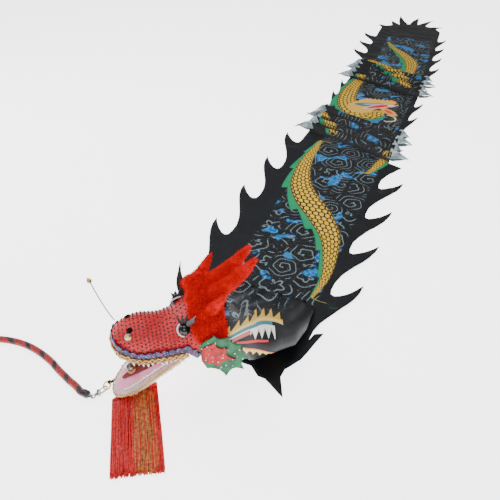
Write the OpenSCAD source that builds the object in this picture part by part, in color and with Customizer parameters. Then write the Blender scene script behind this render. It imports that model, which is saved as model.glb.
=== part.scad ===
// Hand-swung dragon streamer: a plush dragon head on a rope lead, towing a flame-edged cloth ribbon.
// Laid out on a flat surface. +Z is up and +Y runs along the ribbon towards its tail.
// The origin is under the front of the ribbon, on its centre line, where the cloth lies flat.

/* [Ribbon] */
// Width of the cloth between the roots of the flame points
ribbon_w = 440; // [360:5:520]
// How far each flame point reaches beyond the cloth's edge
flame_out = 95; // [50:1:110]
// Spacing of the flame points along the left edge
pitch_left = 277; // [240:1:300]
// Spacing of the flame points along the right edge
pitch_right = 245; // [220:1:300]
// Thickness of the double cloth at its hem
cloth_t = 3; // [2:0.5:5]
// Length of the front panel on the centre line, ahead of the first gather
front_len = 1250; // [900:10:1500]
// Length of the middle panel between the two gathers
mid_len = 500; // [400:10:700]
// Length of the tail panel, without its end flames
tail_len = 1125; // [900:5:1300]
// Turn of the tail panel to the left
tail_turn = 3; // [0:0.5:6]
// Slant of the gathers across the ribbon
gather_slant = 23; // [0:1:30]
// Number of pleats in each gather
pleats = 4; // [2:1:6]
// Length that one pleat takes up
pleat_pitch = 80; // [50:1:100]
// Height of a pleat
pleat_h = 34; // [15:1:45]

/* [Head] */
// Turn of the head to its own right, away from the ribbon's line
head_turn = 52; // [0:1:60]
// Width of the snout
snout_w = 130; // [110:1:145]
// Width of the head across the cheeks
cheek_w = 168; // [150:1:180]
// Width of the lower jaw at the corners of the mouth
jaw_w = 140; // [120:1:150]
// Length of the lower jaw
jaw_len = 250; // [230:1:260]
// Slope of the lower jaw
jaw_drop = 37; // [30:1:40]
// Radius of each eye
eye_r = 15; // [12:0.5:18]
// Length of a horn from its root
horn_len = 166; // [110:1:180]
// Thickness of a horn at its root
horn_r = 22; // [14:0.5:24]
// Thickness of the plush collar
mane_r = 25; // [20:1:28]
// Length of each whisker
whisker_len = 125; // [80:1:140]
// Radius of the whisker wire
whisker_r = 1.5; // [1:0.1:2.5]
// Radius of the pearl in the mouth
pearl_r = 11; // [8:0.5:13]
// Radius of the load hoop hidden in the neck
hoop_r = 62; // [50:1:70]

/* [Tassel] */
// Length of the tassel's strands
tassel_len = 225; // [150:5:260]
// Thickness of the bundle of strands
tassel_t = 8; // [5:0.5:12]

/* [Lead] */
// Diameter of the braided rope
rope_d = 20; // [14:1:22]
// Turn of the ring and hook to the head's left of straight ahead
lead_turn = 30; // [0:1:40]
// Turn of the rope to the head's right where its bail hangs in the swivel's eye
lead_bend = 73; // [0:1:80]
// Radius of the chin ring, at the middle of its wire
ring_r = 11; // [10:0.5:14]
// Radius of the wire of the ring and the hook
wire_r = 2; // [1.8:0.1:2.2]
// Inner radius of the hook's crook
crook_r = 6; // [5.5:0.1:8]
// Length of the hook's straight side
hook_len = 22; // [18:1:28]
// Radius of the coil that holds the spare rope, at the middle of its turns
coil_r = 110; // [100:1:120]
// Number of turns stacked in the coil
coil_turns = 2; // [1:1:3]
// Length of the webbing hand loop
loop_len = 150; // [120:5:180]
// Width of the opening in the hand loop
loop_gap = 64; // [50:1:80]
// Width of the hand loop's webbing
loop_band = 25; // [15:1:30]
// Running clearance of the pins in their bores
pin_gap = 0.05; // [0.02:0.01:0.1]

/* [Hidden] */
$fn = 48;
gap = 0.3;

// ---- vectors and swept shapes -------------------------------------------------------------

function unit(v) = v / norm(v);
function mix(a, b, t) = a + (b - a) * t;
function bezier(p, t) = pow(1 - t, 3) * p[0] + 3 * pow(1 - t, 2) * t * p[1]
                      + 3 * (1 - t) * t * t * p[2] + pow(t, 3) * p[3];
function curve(p, steps) = [for (i = [0:steps]) bezier(p, i / steps)];

// A closed solid through rings of points that all have the same count
module loft(rings) {
    n = len(rings[0]);
    last = len(rings) - 1;
    sides = [for (k = [0:last - 1], i = [0:n - 1], second = [0, 1])
        let (j = (i + 1) % n, a = k * n, b = a + n)
        second == 0 ? [a + i, b + j, a + j] : [a + i, b + i, b + j]];
    polyhedron(points = [for (r = rings) each r],
               faces = concat(sides, [[for (i = [0:n - 1]) i]], [[for (i = [n - 1:-1:0]) last * n + i]]));
}

// A round tube along a path; radii gives its radius at each point
module tube(path, radii, sides) {
    last = len(path) - 1;
    loft([for (k = [0:last])
        let (t = unit(path[min(k + 1, last)] - path[max(k - 1, 0)]),
             side = unit(cross(t, abs(t[2]) > 0.9 ? [0, 1, 0] : [0, 0, 1])),
             up = cross(side, t),
             r = is_list(radii) ? radii[k] : radii)
        [for (i = [0:sides - 1]) path[k] + r * (cos(360 * i / sides) * side - sin(360 * i / sides) * up)]]);
}

// ---- ribbon -------------------------------------------------------------------------------

edge_x = ribbon_w / 2;
slant_rise = tan(gather_slant);
gather_len = pleats * pleat_pitch;
front_end = front_len;
mid_start = front_end + gather_len + gap;
mid_end = mid_start + mid_len;
tail_start = mid_end + gather_len + gap;
front_y = -205;

// One flame of the edge: out of the cloth and along it, from one root to the next
function flame(pitch, reach) = concat(
    curve([[0, 0], [-0.08 * reach, 0.47 * pitch], [reach, 0.76 * pitch], [reach, 1.23 * pitch]], 8),
    [for (i = [1:6]) bezier([[reach, 1.23 * pitch], [0.63 * reach, 0.97 * pitch],
                             [0, 0.74 * pitch], [0, pitch]], i / 6)]);
function flame_run(side, first, pitch, count, reach) = [for (k = [0:count - 1]) each
    [for (p = flame(pitch, reach)) [side * (edge_x + p[0]), first + k * pitch + p[1]]]];
function reversed(list) = [for (i = [len(list) - 1:-1:0]) list[i]];

// The cloth's narrowed front, one side: a drooping corner flame and a small spike
front_edge = [[100, front_y + 12], [131, front_y - 15], [153, front_y - 17], [219, front_y - 56],
              [190, front_y + 8], [192, front_y + 38], [222, front_y + 85], [236, front_y + 140],
              [254, front_y + 210], [228, front_y + 195]];
function front_side(side) = [for (p = front_edge) [side * p[0] * edge_x / 220, p[1]]];

left_first = -162;
right_first = -38;
left_count = 5;
right_count = 5;

// Slab that keeps what lies between two slanted lines across the ribbon
module between(y0, y1) {
    translate([0, 0, -1])
        linear_extrude(cloth_t + 2)
            polygon([[-800, y0 + 800 * slant_rise], [800, y0 - 800 * slant_rise],
                     [800, y1 - 800 * slant_rise], [-800, y1 + 800 * slant_rise]]);
}

module ribbon_front() {
    color("#23262c") intersection() {
        linear_extrude(cloth_t)
            polygon(concat(front_side(1), flame_run(1, right_first, pitch_right, right_count, flame_out),
                           [[edge_x, front_end + 200], [-edge_x, front_end + 200]],
                           reversed(flame_run(-1, left_first + pitch_left, pitch_left, left_count - 1, flame_out)),
                           reversed(front_side(-1))));
        between(-900, front_end);
    }
}

// A panel with its flames: each side is [first root, spacing, number, reach]
module panel(start, stop, left, right) {
    intersection() {
        linear_extrude(cloth_t)
            polygon(concat([[edge_x, start - 400]], flame_run(1, start + right[0], right[1], right[2], right[3]),
                           [[edge_x, 9000], [-edge_x, 9000]],
                           reversed(flame_run(-1, start + left[0], left[1], left[2], left[3])), [[-edge_x, start - 400]]));
        between(start, stop);
    }
}

module ribbon_middle() {
    color("#23262c")
        panel(mid_start, mid_end, [125, 190, 2, flame_out * 0.35], [-75, 190, 2, flame_out * 0.45]);
}

// Points of the pleats that stick out of one end of a gather, seen from their grey backs
module pleat_point(reach, wide) {
    linear_extrude(cloth_t)
        polygon(concat(curve([[0, -wide / 2], [0.3 * reach, -wide / 2], [0.7 * reach, -0.1 * wide], [reach, 0.5 * wide]], 6),
                       [[0.5 * reach, 0.45 * wide], [0, wide / 2]]));
}

// Reach of the pleat points as shares of a flame's: left odd and even, then right odd and even
pleat_reach = [1, 0.35, 0.85, 0.55];
// Pleats across the ribbon: rounded ridges on a flat underside
module gather(y0) {
    steps = 10;
    crest = [for (i = [0:pleats * steps])
        [i * pleat_pitch / steps * cos(gather_slant), cloth_t + (pleat_h - cloth_t) * pow(sin(180 * i / steps), 2)]];
    length = ribbon_w / cos(gather_slant);
    translate([0, y0, 0]) {
        intersection() {
            rotate(-gather_slant)
                translate([-length, 0, 0])
                    rotate([90, 0, 90])
                        linear_extrude(2 * length)
                            polygon(concat([[0, 0]], crest, [[gather_len * cos(gather_slant), 0]]));
            translate([-edge_x, -900, -1])
                cube([ribbon_w, 1800 + gather_len, pleat_h + 2]);
        }
        for (side = [-1, 1], k = [0:pleats - 1])
            translate([side * (edge_x - 12), (k + 0.5) * pleat_pitch - side * (edge_x - 12) * slant_rise, 0])
                mirror([side < 0 ? 1 : 0, 0, 0])
                    pleat_point(flame_out * pleat_reach[side < 0 ? k % 2 : 2 + k % 2], 0.6 * pleat_pitch);
    }
}

module gather_front() {
    color("#3a3f47") gather(front_end);
}

module gather_rear() {
    color("#3a3f47") gather(mid_end);
}

// Flames round the end of the tail, each [bearing from the tail's line, reach from the centre of the end]
tail_flames = [[-61, 300], [-32, 350], [-17, 485], [2, 465], [18, 430], [44, 325]];
module tail_flame(from, reach, wide) {
    polygon(concat(curve([[-wide / 2, from], [-wide / 2, mix(from, reach, 0.4)], [-0.1 * wide, mix(from, reach, 0.6)],
                          [0.3 * wide, reach]], 6),
                   curve([[0.3 * wide, reach], [0.15 * wide, mix(from, reach, 0.7)],
                          [0.4 * wide, mix(from, reach, 0.4)], [wide / 2, from]], 6)));
}

module ribbon_tail() {
    end_r = 235;
    end_y = tail_start + tail_len - end_r;
    color("#23262c")
        translate([0, tail_start, 0]) rotate(tail_turn) translate([0, -tail_start, 0]) {
            intersection() {
                panel(tail_start - 60, 9000, [176, 205, 3, flame_out], [-54, 215, 4, flame_out * 0.6]);
                translate([-800, 0, -1]) cube([1600, end_y, cloth_t + 2]);
                translate([0, tail_start, 0]) rotate(-tail_turn) translate([0, -tail_start, 0])
                    between(tail_start, 9000);
            }
            translate([0, end_y, 0])
                linear_extrude(cloth_t) {
                    intersection() {
                        circle(end_r, $fn = 96);
                        translate([-edge_x, -1]) square([ribbon_w, end_r + 1]);
                    }
                    for (f = tail_flames)
                        rotate(-f[0]) tail_flame(end_r * 0.93, f[1], 60);
                }
        }
}

// ---- head: placed by its own frame, +X to its left, +Y back, +Z up, origin under the chin ---

head_pos = [-208, -426, 0];
neck_y = 300;
neck_z = 205;
neck_h = 95;
module on_head() {
    translate(head_pos) rotate(-head_turn) children();
}
module both_sides() {
    children();
    mirror([1, 0, 0]) children();
}

// Height of the upper lip line: low at mid-snout, rising to the nose and to the corners
function lip_z(y) = 174 + (y < 110 ? 26 * pow((110 - y) / 75, 2) : 14 * pow((min(y, 205) - 110) / 95, 2));
// Half the width of the upper jaw at the lip, and the height of the crown
function half_w(y) = y < 120 ? snout_w / 2 * pow(max(0, 1 - pow((120 - y) / 92, 2)), 0.5)
                   : mix(snout_w / 2, cheek_w / 2, min(1, (y - 120) / 110));
function crown_z(y) = y < 100 ? 206 + 46 * pow(max(0, 1 - pow((100 - y) / 72, 2)), 0.5)
                    : y < 165 ? 252 - 16 * (1 - cos(180 * (y - 100) / 65)) / 2
                    : 236 + 64 * (1 - cos(180 * min(1, (y - 165) / 110))) / 2;
function floor_z(y) = y < 205 ? lip_z(y) : mix(lip_z(205), neck_z - neck_h, min(1, (y - 205) / 60));

// Cross-section of the head: flat under the snout, closed and round towards the neck
function head_ring(y) = let (w = half_w(y), low = floor_z(y), high = crown_z(y),
                             round = min(1, max(0, (y - 200) / 60)), mid = mix(low + 3, (low + high) / 2, round))
    [for (i = [0:31]) let (a = 360 * i / 32, s = sin(a), c = cos(a))
        [-w * sign(c) * pow(abs(c), mix(0.8, 1, round)), y,
         s >= 0 ? mid + (high - mid) * pow(s, 0.85) : mid + (mid - low) * s]];
head_stations = [29, 32, 38, 48, 62, 80, 100, 120, 140, 160, 180, 200, 215, 230, 245, 260, 280, neck_y];

module head_shell() {
    color("#d9414a") on_head() loft([for (y = head_stations) head_ring(y)]);
}

// Lining of the palate, which follows the lip line
module palate_lining() {
    thick = 4;
    color("#e9a6bd") on_head()
        loft([for (y = [34, 38, 44, 54, 68, 84, 100, 118, 136, 154, 172, 190, 200])
            let (w = half_w(y) - 4, z = lip_z(y) - gap)
            [[-w, y, z], [w, y, z], [w, y, z - thick], [-w, y, z - thick]]]);
}
function mirrored(list) = concat(list, [for (i = [len(list) - 2:-1:0]) [-list[i][0], list[i][1]]]);

// Lower jaw, in its own slope: x across, y forward from the corner of the mouth, z up from the lip plane
jaw_depth = 34;
function jaw_half(s) = s < 0.55 * jaw_len ? mix(jaw_w / 2, 0.86 * jaw_w / 2, s / (0.55 * jaw_len))
    : 0.86 * jaw_w / 2 * pow(max(0, 1 - pow((s - 0.55 * jaw_len) / (0.46 * jaw_len), 2)), 0.5);
function jaw_ring(s) = [for (i = [0:23]) let (a = 360 * i / 24, w = jaw_half(s), d = jaw_depth * pow(w / (jaw_w / 2), 0.25))
    [-w * cos(a), -s, sin(a) > 0 ? 0.12 * d * sin(a) : d * sin(a)]];
jaw_rings = [for (s = reversed([0, 40, 80, 120, 150, 180, 200, 215, 228, 236, 240])) jaw_ring(s * jaw_len / 240)];
// The chin rests on the surface, which sets the height of the corner of the mouth
jaw_pos = [0, 207, -min([for (ring = jaw_rings, p = ring) p[1] * sin(jaw_drop) + p[2] * cos(jaw_drop)])];
module on_jaw() {
    on_head() translate(jaw_pos) rotate([jaw_drop, 0, 0]) children();
}

module lower_jaw() {
    color("#e8b9c6") on_jaw() loft(jaw_rings);
}

// Plan outline of the lower jaw, inset by a margin
function jaw_outline(inset, s0) = mirrored(concat(
    [for (k = [0:9]) let (s = mix(s0, 0.98 * jaw_len - inset, k / 10)) [jaw_half(s) - inset, -s]],
    [[0, -(jaw_len - inset)]]));
jaw_top = 0.12 * jaw_depth;

module jaw_lining() {
    color("#f0b6ca") on_jaw()
        translate([0, 0, jaw_top + gap]) linear_extrude(5) polygon(jaw_outline(10, 8));
}

// Cheek lining that closes the right side of the mouth from the corner to the lips
module mouth_web() {
    x0 = -0.78 * jaw_w / 2;
    color("#efbccd") on_head()
        translate([x0, 0, 0])
            rotate([90, 0, -90])
                linear_extrude(2)
                    polygon([[-196, 160], [-150, 128], [-100, 93], [-62, 68], [-52, 120], [-50, 192], [-120, 176]]);
}

module tongue() {
    color("#7d0f16") on_jaw()
        translate([0, 0, jaw_top + 5 + 2 * gap]) {
            hull() {
                translate([0, -60, 0]) cylinder(h = 6, r = 30);
                translate([0, -175, 0]) cylinder(h = 5, r = 20);
            }
        }
}

// Row of pointed teeth along each side of the lower jaw, and of the upper
tooth_count = 8;
module teeth() {
    color("#f2efe6") {
        on_jaw() both_sides() for (k = [0:tooth_count - 1]) {
            s = 70 + k * 17;
            translate([jaw_half(s) - 8, -s, jaw_top + 5 + 2 * gap])
                cylinder(h = 15, r1 = 5, r2 = 0.6, $fn = 24);
        }
        on_head() both_sides() for (k = [0:tooth_count - 2]) {
            y = 76 + k * 15;
            translate([half_w(y) - 12, y, lip_z(y) - 4.6 - 13])
                cylinder(h = 13, r1 = 0.6, r2 = 4.5, $fn = 24);
        }
    }
}

module fangs() {
    color("#f7f4ea") on_jaw() both_sides()
        translate([jaw_half(30) - 6, -34, jaw_top + 5 + 2 * gap])
            rotate([-12, 0, 0]) cylinder(h = 26, r1 = 7, r2 = 1, $fn = 32);
}

// Gold braid laid round the upper lip
function lip_front(out, rise) = [for (a = [0:15:180])
    [cos(a) * (half_w(60) + out), 60 - sin(a) * (26 + out), lip_z(60 - 26 * sin(a)) + rise]];
function lip_route(out, rise) = concat(
    [for (y = [205:-14:65]) [half_w(y) + out, y, lip_z(y) + rise]], lip_front(out, rise),
    [for (y = [65:14:205]) [-half_w(y) - out, y, lip_z(y) + rise]]);

module upper_lip_trim() {
    color("#c09a3e") on_head() tube(lip_route(4, 2), 5, 10);
}

module sequin_band() {
    color("#3a5aa8") on_head() tube(lip_route(1.5, 13), 5.5, 10);
}

module lower_lip_trim() {
    color("#b98f3a") on_jaw()
        tube([for (p = jaw_outline(-3, 2)) [p[0], p[1], 1]], 4.5, 10);
}

module nostrils() {
    color("#141414") on_head() both_sides()
        translate([24, 77, 243]) sphere(8, $fn = 32);
}

eye_at = [55, 205, 244];
module on_eye() {
    on_head() translate(eye_at) rotate([0, 58, -16]) children();
}
module mirrored_head() {
    on_head() mirror([1, 0, 0]) rotate(head_turn) translate(-head_pos) children();
}
module eye() {
    on_eye() rotate_extrude() intersection() {
        circle(eye_r);
        translate([0, 2]) square([eye_r, eye_r]);
    }
}
module eye_rim() {
    on_eye() rotate_extrude() translate([eye_r + 2.2, 1]) circle(2, $fn = 24);
}
// Fan of separate felt lashes above the eye, and one long felt flame behind it
lash_count = 7;
brow_tip = [105, 233, 330];
module eyelash() {
    on_eye() for (k = [0:lash_count - 1])
        rotate(100 + k * 22)
            translate([eye_r + 10, 0, 0])
                rotate([0, 50, 0]) cylinder(h = 24, r1 = 3.4, r2 = 0.8, $fn = 24);
    brow_root = [62, 226, 262];
    on_head() tube([for (k = [0:5]) mix(brow_root, brow_tip, k / 5)],
                   [for (k = [0:5]) 9 * pow(1 - k / 5.3, 0.6)], 12);
}
module eye_left() { color("#0d0d0f") eye(); }
module eye_right() { color("#0d0d0f") mirrored_head() eye(); }
module eye_rim_left() { color("#e9e9e9") eye_rim(); }
module eye_rim_right() { color("#e9e9e9") mirrored_head() eye_rim(); }
module eyelash_left() { color("#151515") eyelash(); }
module eyelash_right() { color("#151515") mirrored_head() eyelash(); }

// Stuffed plush horn that leans back and up
horn_root = [24, 262, 300];
horn_lean = [0.01, 0.79, 0.61];
module horn() {
    on_head() tube([for (k = [0:6]) horn_root + horn_lean * horn_len * k / 6 - [0, 0, 14 * sin(180 * k / 6)]],
                   [for (k = [0:6]) horn_r * pow(1 - k / 6.2, 0.42)], 16);
}
module horn_left() { color("#d8141b") horn(); }
module horn_right() { color("#d8141b") mirrored_head() horn(); }

ear_root = [66, 262, 292];
module ear() {
    on_head() tube([for (k = [0:4]) ear_root + [18, 44, 62] * k / 4],
                   [for (k = [0:4]) 17 * pow(1 - k / 4.5, 0.8)], 14);
}
module ear_left() { color("#c9161c") ear(); }
module ear_right() { color("#c9161c") mirrored_head() ear(); }

// Plush collar round the back of the head, open under the throat
module mane_collar() {
    color("#cf1219") on_head()
        translate([0, neck_y - mane_r - 3, neck_z + 12])
            rotate([90, 0, 0]) difference() {
                rotate_extrude() translate([cheek_w / 2 + 0.1 * mane_r, 0]) circle(mane_r);
                translate([-200, -300, -60]) cube([400, 290, 120]);
            }
}

// Flame-shaped felt fin on each cheek
fin_root = [cheek_w / 2 + 22, 232, 212];
module on_fin() {
    on_head() translate(fin_root) rotate([90, 0, 76]) children();
}
module cheek_fin() {
    on_fin() linear_extrude(4)
        polygon(concat(curve([[0, 20], [10, 44], [30, 40], [34, 56]], 5),
                       curve([[34, 56], [44, 36], [58, 44], [70, 50]], 5),
                       curve([[70, 50], [66, 30], [84, 26], [98, 22]], 5),
                       curve([[98, 22], [88, 8], [104, -14], [116, -24]], 5),
                       curve([[116, -24], [98, -20], [92, -34], [104, -62]], 5),
                       curve([[104, -62], [84, -52], [74, -50], [60, -86]], 5),
                       curve([[60, -86], [52, -62], [30, -52], [14, -56]], 5), [[2, -30]]));
}
module cheek_flame() {
    on_fin() translate([0, 0, 4 + gap]) linear_extrude(3)
        polygon(concat(curve([[4, 8], [14, 30], [26, 22], [34, 34]], 5),
                       curve([[34, 34], [38, 14], [54, 12], [66, 16]], 5),
                       curve([[66, 16], [54, -2], [66, -16], [84, -22]], 5),
                       curve([[84, -22], [60, -22], [44, -26], [48, -46]], 5),
                       curve([[48, -46], [30, -34], [14, -34], [4, -28]], 5)));
}
module cheek_fin_left() { color("#0f8a55") cheek_fin(); }
module cheek_fin_right() { color("#0f8a55") mirrored_head() cheek_fin(); }
module cheek_flame_left() { color("#d41d24") cheek_flame(); }
module cheek_flame_right() { color("#d41d24") mirrored_head() cheek_flame(); }

// Load path inside the head: a wire hoop in the neck and a webbing strap to the chin
module neck_hoop() {
    color("#9a9a9a") on_head()
        translate([0, neck_y - 8, neck_z]) rotate([90, 0, 0])
            rotate_extrude() translate([hoop_r, 0]) circle(3, $fn = 24);
}

strap_w = 20;
module load_strap() {
    color("#2b2b2b") on_jaw()
        translate([-strap_w / 2, 24 - jaw_len, -9]) cube([strap_w, jaw_len + 40, 2]);
}

// Lead hardware, in its own frame: below the tab, -Y ahead, heights above the surface
tab_at = [-23, -1];
tab_z = 24;
run_z = 12;
ring_slope = asin((tab_z - run_z) / (2 * ring_r));
grip_y = -2 * ring_r * cos(ring_slope);
crook_mid = crook_r + wire_r;
tab_bore = wire_r + 0.9;
tab_wall = 2.5;
module on_lead() {
    on_head() translate([tab_at[0], tab_at[1], 0]) rotate(lead_turn) children();
}

module chin_tab() {
    color("#1d1d1d") on_lead()
        difference() {
            union() {
                translate([0, 0, tab_z]) rotate([0, 90, 0])
                    cylinder(h = 6, r = tab_bore + tab_wall, center = true);
                translate([-3, 0, tab_z - tab_bore - tab_wall]) cube([6, 36, 4]);
            }
            translate([0, 0, tab_z]) rotate([0, 90, 0]) cylinder(h = 8, r = tab_bore, center = true);
        }
}

module chin_rivet() {
    color("#c8a24a") on_lead()
        translate([0, 22, tab_z - tab_bore - tab_wall - 3]) cylinder(h = 9, r = 1.8);
}

module chin_ring() {
    color("#d2aa4c") on_lead()
        translate([0, 0, tab_z]) rotate([ring_slope, 0, 0]) translate([0, -ring_r, 0])
            rotate_extrude() translate([ring_r, 0]) circle(wire_r, $fn = 32);
}

// Snap hook, lying on edge; its own frame has the ring's wire at the origin and -Y ahead
module at_grip() {
    on_lead() translate([0, grip_y, run_z]) children();
}
shoulder_y = -hook_len + 8;
shoulder_l = 7;
barrel_l = 6;
stem_r = 1.8;
pivot_y = shoulder_y - shoulder_l / 2;
pivot_r = 1;
gate_r = 1.5;

module hook_body() {
    color("#c9ccd0") at_grip() difference() {
        union() {
            rotate([0, 90, 0])
                rotate_extrude(angle = 180) translate([crook_mid, 0]) circle(wire_r, $fn = 32);
            translate([0, 0, -crook_mid]) rotate([90, 0, 0]) cylinder(h = -shoulder_y + 1, r = wire_r);
            translate([-3.5, shoulder_y - shoulder_l, -crook_mid - wire_r])
                cube([7, shoulder_l, 2 * crook_mid + 2 * wire_r]);
            translate([0, shoulder_y - shoulder_l + 1, 0]) rotate([90, 0, 0]) cylinder(h = barrel_l + 1, r = 5);
        }
        translate([-gate_r - gap, shoulder_y - shoulder_l - 1, crook_mid - 2.6])
            cube([2 * gate_r + 2 * gap, shoulder_l + 2, 10]);
        translate([0, pivot_y, crook_mid]) rotate([0, 90, 0]) cylinder(h = 9, r = pivot_r, center = true);
        translate([0, shoulder_y + 1, 0]) rotate([90, 0, 0])
            cylinder(h = shoulder_l + barrel_l + 2, r = stem_r + pin_gap);
    }
}

module gate_pin() {
    color("#8f9398") at_grip()
        translate([0, pivot_y, crook_mid]) rotate([0, 90, 0]) cylinder(h = 7, r = pivot_r, center = true);
}

module hook_gate() {
    reach = -pivot_y - 0.6;
    color("#dcdfe3") at_grip() difference() {
        union() {
            translate([0, pivot_y, crook_mid]) rotate([0, 90, 0]) cylinder(h = 2 * gate_r, r = 2.3, center = true);
            translate([0, pivot_y, crook_mid]) rotate([-90, 0, 0]) cylinder(h = reach, r = gate_r);
        }
        translate([0, pivot_y, crook_mid]) rotate([0, 90, 0])
            cylinder(h = 4, r = pivot_r + pin_gap, center = true);
    }
}

// Swivel: a headed stem in the barrel, with a flat eye ahead of it
eye_wire = 1.8;
eye_mid = 5.4;
barrel_end = shoulder_y - shoulder_l - barrel_l;
swivel_y = barrel_end - gap - eye_wire - eye_mid - 0.6;
module swivel_eye() {
    color("#b9bdc2") at_grip() {
        translate([0, swivel_y, 0]) rotate_extrude() translate([eye_mid, 0]) circle(eye_wire, $fn = 24);
        translate([0, shoulder_y + gap, 0]) rotate([90, 0, 0])
            cylinder(h = shoulder_y + gap - swivel_y - eye_mid, r = stem_r);
        translate([0, shoulder_y + gap + 1.5, 0]) rotate([90, 0, 0]) cylinder(h = 1.5, r = 3);
    }
}

// Wire bail through the eye, held in the rope's sleeve
bail_r = 1.3;
bail_h = 5;
bail_y = swivel_y - eye_mid + eye_wire + bail_r + gap;
bail_l = 11;
sleeve_l = 18;
module at_bail() {
    at_grip() translate([0, bail_y, 0]) rotate(-lead_bend) children();
}
module rope_bail() {
    color("#d8d8d8") at_bail() {
        translate([0, 0, -bail_h]) cylinder(h = 2 * bail_h, r = bail_r);
        for (side = [-1, 1])
            translate([0, 0, side * bail_h]) {
                sphere(bail_r);
                rotate([90, 0, 0]) cylinder(h = bail_l, r = bail_r);
            }
    }
}

module rope_sleeve() {
    color("#101010") at_bail()
        translate([0, -bail_l, 0]) rotate([90, 0, 0]) {
            cylinder(h = 6, r1 = bail_h + 2, r2 = run_z - 1);
            translate([0, 0, 6]) cylinder(h = sleeve_l - 6, r = run_z - 1);
        }
}

// Rope: from the sleeve along the surface to the coil of spare rope
function turned(p, a) = [p[0] * cos(a) - p[1] * sin(a), p[0] * sin(a) + p[1] * cos(a)];
rope_z = rope_d / 2;
bail_at = [head_pos[0], head_pos[1]]
    + turned(tab_at + turned([0, grip_y + bail_y], lead_turn), -head_turn);
rope_aim = turned([0, -1], lead_turn - lead_bend - head_turn);
function off_bail(d, z) = [bail_at[0] + d * rope_aim[0], bail_at[1] + d * rope_aim[1], z];
route = [[-308, -446], [-334, -438], [-361, -428], [-392, -416], [-424, -402], [-470, -388], [-520, -379],
         [-570, -379], [-620, -389], [-670, -406], [-720, -424], [-770, -438]];
coil_at = [-800, -560];
coil_in = 105;
coil_edge = [coil_at[0] + coil_r * cos(coil_in), coil_at[1] + coil_r * sin(coil_in)];
coil_out = [-sin(coil_in), cos(coil_in)];
rope_path = concat([off_bail(bail_l + sleeve_l, run_z), off_bail(bail_l + sleeve_l + 12, run_z - 0.7)],
                   [for (p = route) [p[0], p[1], rope_z]], [[coil_edge[0], coil_edge[1], rope_z]]);

module lead_rope() {
    color("#8c1a20") tube(rope_path, rope_z, 10);
}

module lead_coil() {
    color("#8c1a20") translate([coil_at[0], coil_at[1], 0])
        rotate_extrude($fn = 96)
            translate([coil_r - rope_z, 0]) square([rope_d, coil_turns * rope_d]);
}

// The rope's last stretch comes off the top turn and down to the ferrule
function off_coil(d, z) = [coil_edge[0] + d * coil_out[0], coil_edge[1] + d * coil_out[1], z];
end_run = 150;
top_z = (coil_turns - 0.5) * rope_d;
ferrule_r = 12.5;
module lead_end() {
    color("#8c1a20")
        tube([for (t = [0:0.125:1]) off_coil(t * end_run, mix(top_z, ferrule_r, (1 - cos(180 * t)) / 2))], rope_z, 10);
}

ferrule_l = 30;
module end_ferrule() {
    color("#c9a247") translate(off_coil(end_run + gap / 10, ferrule_r))
        rotate([0, 90, coil_in + 90]) cylinder(h = ferrule_l, r = ferrule_r - 0.5);
}

// Webbing loop for the hand, standing on its edge
module stadium(length, r) {
    circle(r);
    translate([0, -r]) square([length - 2 * r, 2 * r]);
    translate([length - 2 * r, 0]) circle(r);
}
loop_wall = 3;
module hand_loop() {
    r = loop_gap / 2;
    color("#1b1b1b") translate(off_coil(end_run + ferrule_l + r + loop_wall + gap / 5, 0))
        rotate(coil_in + 90)
            linear_extrude(loop_band) difference() {
                stadium(loop_len + 2 * loop_wall, r + loop_wall, $fn = 96);
                stadium(loop_len, r, $fn = 96);
            }
}

// Neck cloth that drapes from the back of the head down to the ribbon
neck_at = [head_pos[0] + (neck_y + gap) * sin(head_turn), head_pos[1] + (neck_y + gap) * cos(head_turn)];
cowl_steps = [
    [neck_at, 90 - head_turn, cheek_w / 2, neck_h, neck_z - neck_h],
    [neck_at + [22, 18], 44, 80, 92, 94],
    [[62, -200], 54, 86, 84, 54],
    [[80, -152], 66, 100, 74, 20],
    [[88, -95], 78, 120, 60, cloth_t + gap],
    [[76, -25], 87, 136, 42, cloth_t + gap],
    [[52, 50], 90, 152, 20, cloth_t + gap],
    [[32, 120], 90, 164, 5, cloth_t + gap]];
function cowl_ring(s) = let (back = [cos(s[1]), sin(s[1])], left = [sin(s[1]), -cos(s[1])])
    [for (i = [0:27]) let (a = 360 * i / 28, x = -s[2] * cos(a))
        [s[0][0] + x * left[0], s[0][1] + x * left[1], s[4] + s[3] + s[3] * sin(a)]];
module neck_cowl() {
    color("#2a2d33") loft([for (s = cowl_steps) cowl_ring(s)]);
}

// Whiskers: sprung wires, each with a bud at its tip. Each has its own root and aim.
whisker_left_set = [[44, 74, 238], unit([0.69, 0.0, 0.72]), 4];
whisker_right_set = [[52, 42, 217], unit([0.87, -0.38, 0.37]), 45];
function whisker_path(set) = [for (k = [0:8]) set[0] + set[1] * (whisker_len * k / 8) + [0, 0, set[2]] * (pow(k / 8, 2) - k / 8)];
module whisker(set) {
    on_head() tube(whisker_path(set), whisker_r, 10);
}
bud_r = 7;
module whisker_bud(set) {
    on_head() translate(whisker_path(set)[8] + set[1] * (bud_r + 0.5))
        {
            sphere(bud_r);
            translate(set[1] * bud_r) sphere(bud_r * 0.5);
        }
}
module whisker_left() { color("#3b4350") whisker(whisker_left_set); }
module whisker_right() { color("#3b4350") mirrored_head() whisker(whisker_right_set); }
module whisker_bud_left() { color("#c4a54e") whisker_bud(whisker_left_set); }
module whisker_bud_right() { color("#c4a54e") mirrored_head() whisker_bud(whisker_right_set); }

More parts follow.
